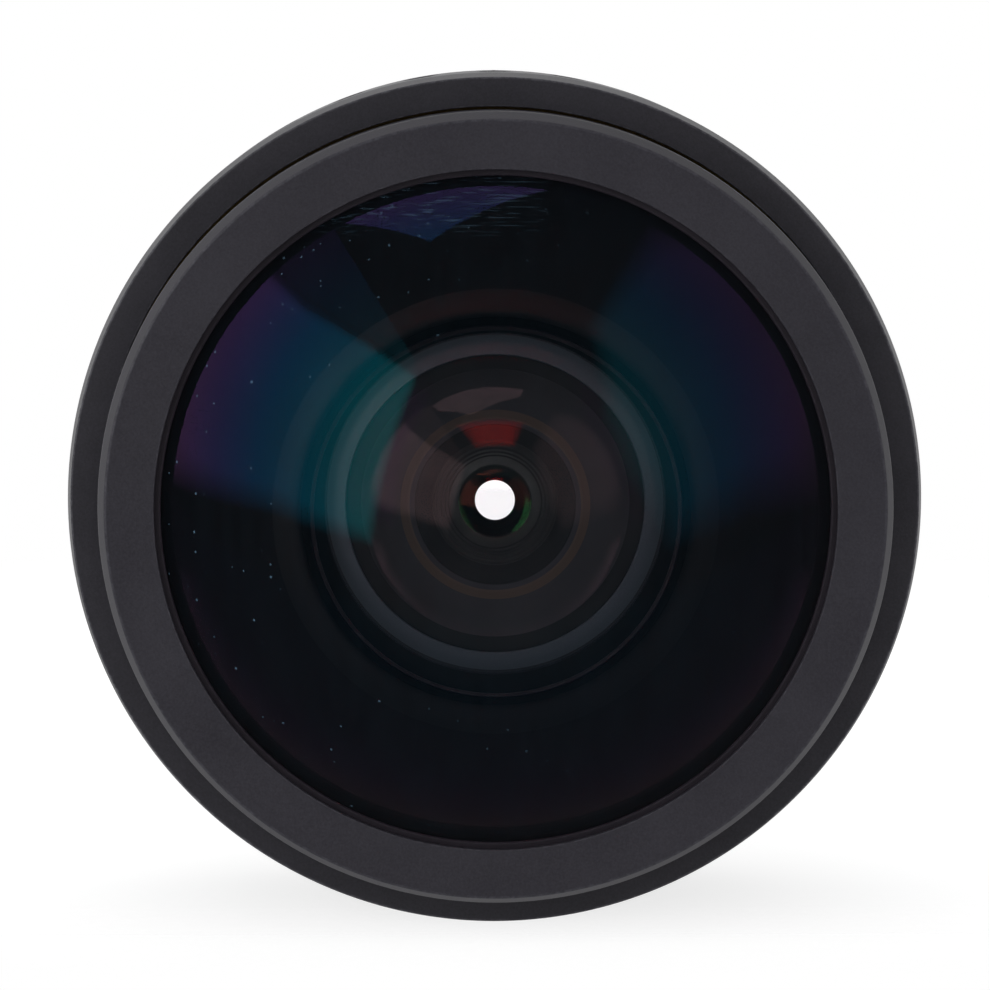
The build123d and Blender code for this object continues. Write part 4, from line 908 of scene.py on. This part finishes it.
for material in (second_glass, zoned_ink, second_hollow):
    second_element.data.materials.append(material)
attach(second_element, "optical_block")
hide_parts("second_element")


# Second element's retaining ring: the grey ring seen in the glass. Turned aluminium,
# anodised grey and left a little shiny. The black baffle spacer keeps the next glass apart.
grey_anodise = anodised("turned_grey_anodise", "687080", "747C8B", 0.4, 0.2, 0.006, worn="9A9AA0")
outline, marks = eased([(12.05, 27.76, 0.03), (12.05, 27.999, 0.08), (16.83, 27.999, 0.08), (16.83, 27.0),
                        (13.05, 27.0, 0.05), (13.05, 27.62, 0.05)], 0.06)
grey_ring = turned("second_retaining_ring_turned", outline, marks=marks)
grey_ring.data.materials.append(grey_anodise)
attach(grey_ring, "optical_block")
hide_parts("second_retaining_ring")
dress("baffle_spacer", dead_black)


# Third element: the thick biconvex lens in front of the iris. Polished high-index glass,
# coated, with an inked edge, held in the rear of the front cell.
third_element = lens("third_element_glass", 14.372, 20.9, 7.0, 9.763, -96.707, 7.0, 7.0)
third_element.data.materials.append(coated_glass("coated_third_glass", 1.805, 102.0, 1.344, "59E7AA"))
third_element.data.materials.append(lens_ink)
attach(third_element, "optical_block")
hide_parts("third_element")


# Iris: cam ring and fork in blackened brass, a dead black cup, seven blackened spring steel
# leaves that swing between them, and three screws through the whole stack.
blackened_steel = metal("blackened_spring_steel", "19191C", "25252A", 0.38, 0.12, 0.002, axis_turned=False)
blackened_brass = metal("blackened_brass", "17161A", "222126", 0.45, 0.06, 0.003)
rounded("iris_cam_ring", blackened_brass, "iris_cam", bevel=0.05)
rounded("iris_fork", blackened_brass, "iris_cam", bevel=0.08)
rounded("iris_housing", dead_black, "optical_block", bevel=0.05)
rounded("iris_screws", nickel_steel, "optical_block", bevel=0.08)
for leaf in range(1, 8):
    rounded("iris_blade_%d" % leaf, blackened_steel, "blade_%d" % leaf, bevel=0.0)


# Rear group: the cemented doublet, its spacer, the last element, their cell and its retaining
# ring. Polished and coated glass in cells turned from aluminium and dyed dead black.
fourth_element = lens("fourth_element_glass", 5.370, 50.031, 5.0, 1.972, -6.212, 5.0, 5.0)
fifth_element = lens("fifth_element_glass", 1.962, -6.212, 5.0, 0.772, -15.31, 5.6, 5.6)
sixth_element = lens("sixth_element_glass", 0.652, -45.817, 6.3, -1.748, -13.174, 6.3, 6.3)
rear_glass = coated_glass("coated_rear_glass", 1.62, 108.0, 1.273, "7C7C7C")
for piece, node in ((fourth_element, "fourth_element"), (fifth_element, "fifth_element"),
                    (sixth_element, "sixth_element")):
    piece.data.materials.append(rear_glass)
    piece.data.materials.append(lens_ink)
    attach(piece, "optical_block")
    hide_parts(node)
rounded("rear_spacer", dead_black, "optical_block", bevel=0.05)
rounded("rear_cell", dead_black, "optical_block", bevel=0.08)
rounded("rear_retaining_ring", dead_black, "optical_block", bevel=0.06)


# Bayonet mount: turned and milled brass, satin chromed, with three lugs, the lock pin's
# hole and four countersunk screws. The chrome is pale and soft in its reflections, with
# faint tool rings.
satin_chrome = metal("satin_chrome_on_brass", "A6A6A6", "C4C4C4", 0.26, 0.06, 0.003)
rounded("bayonet_mount", satin_chrome, "fixed_barrel", bevel=0.12)
rounded("mount_screws", nickel_steel, "fixed_barrel", bevel=0.05)


# Rear baffle: a moulded black cup inside the mount that keeps stray light off the film. It is
# polycarbonate from a spark-eroded mould, which leaves a dull, fine grain.
moulded_black, tree = new_material("moulded_black_polycarbonate")
spark, moulded_tone = mottle(tree, 0.2, 2.0, "141415", "1D1D1F")
moulded_bump = add(tree, "ShaderNodeBump", Height=spark, Strength=0.6, Distance=0.01 * MM)
moulded = add(tree, "ShaderNodeBsdfPrincipled", Base_Color=moulded_tone, Roughness=0.55, IOR=1.58,
              Normal=moulded_bump.outputs[0])
add(tree, "ShaderNodeOutputMaterial", Surface=moulded.outputs[0])
rounded("rear_baffle", moulded_black, "fixed_barrel", bevel=0.12)
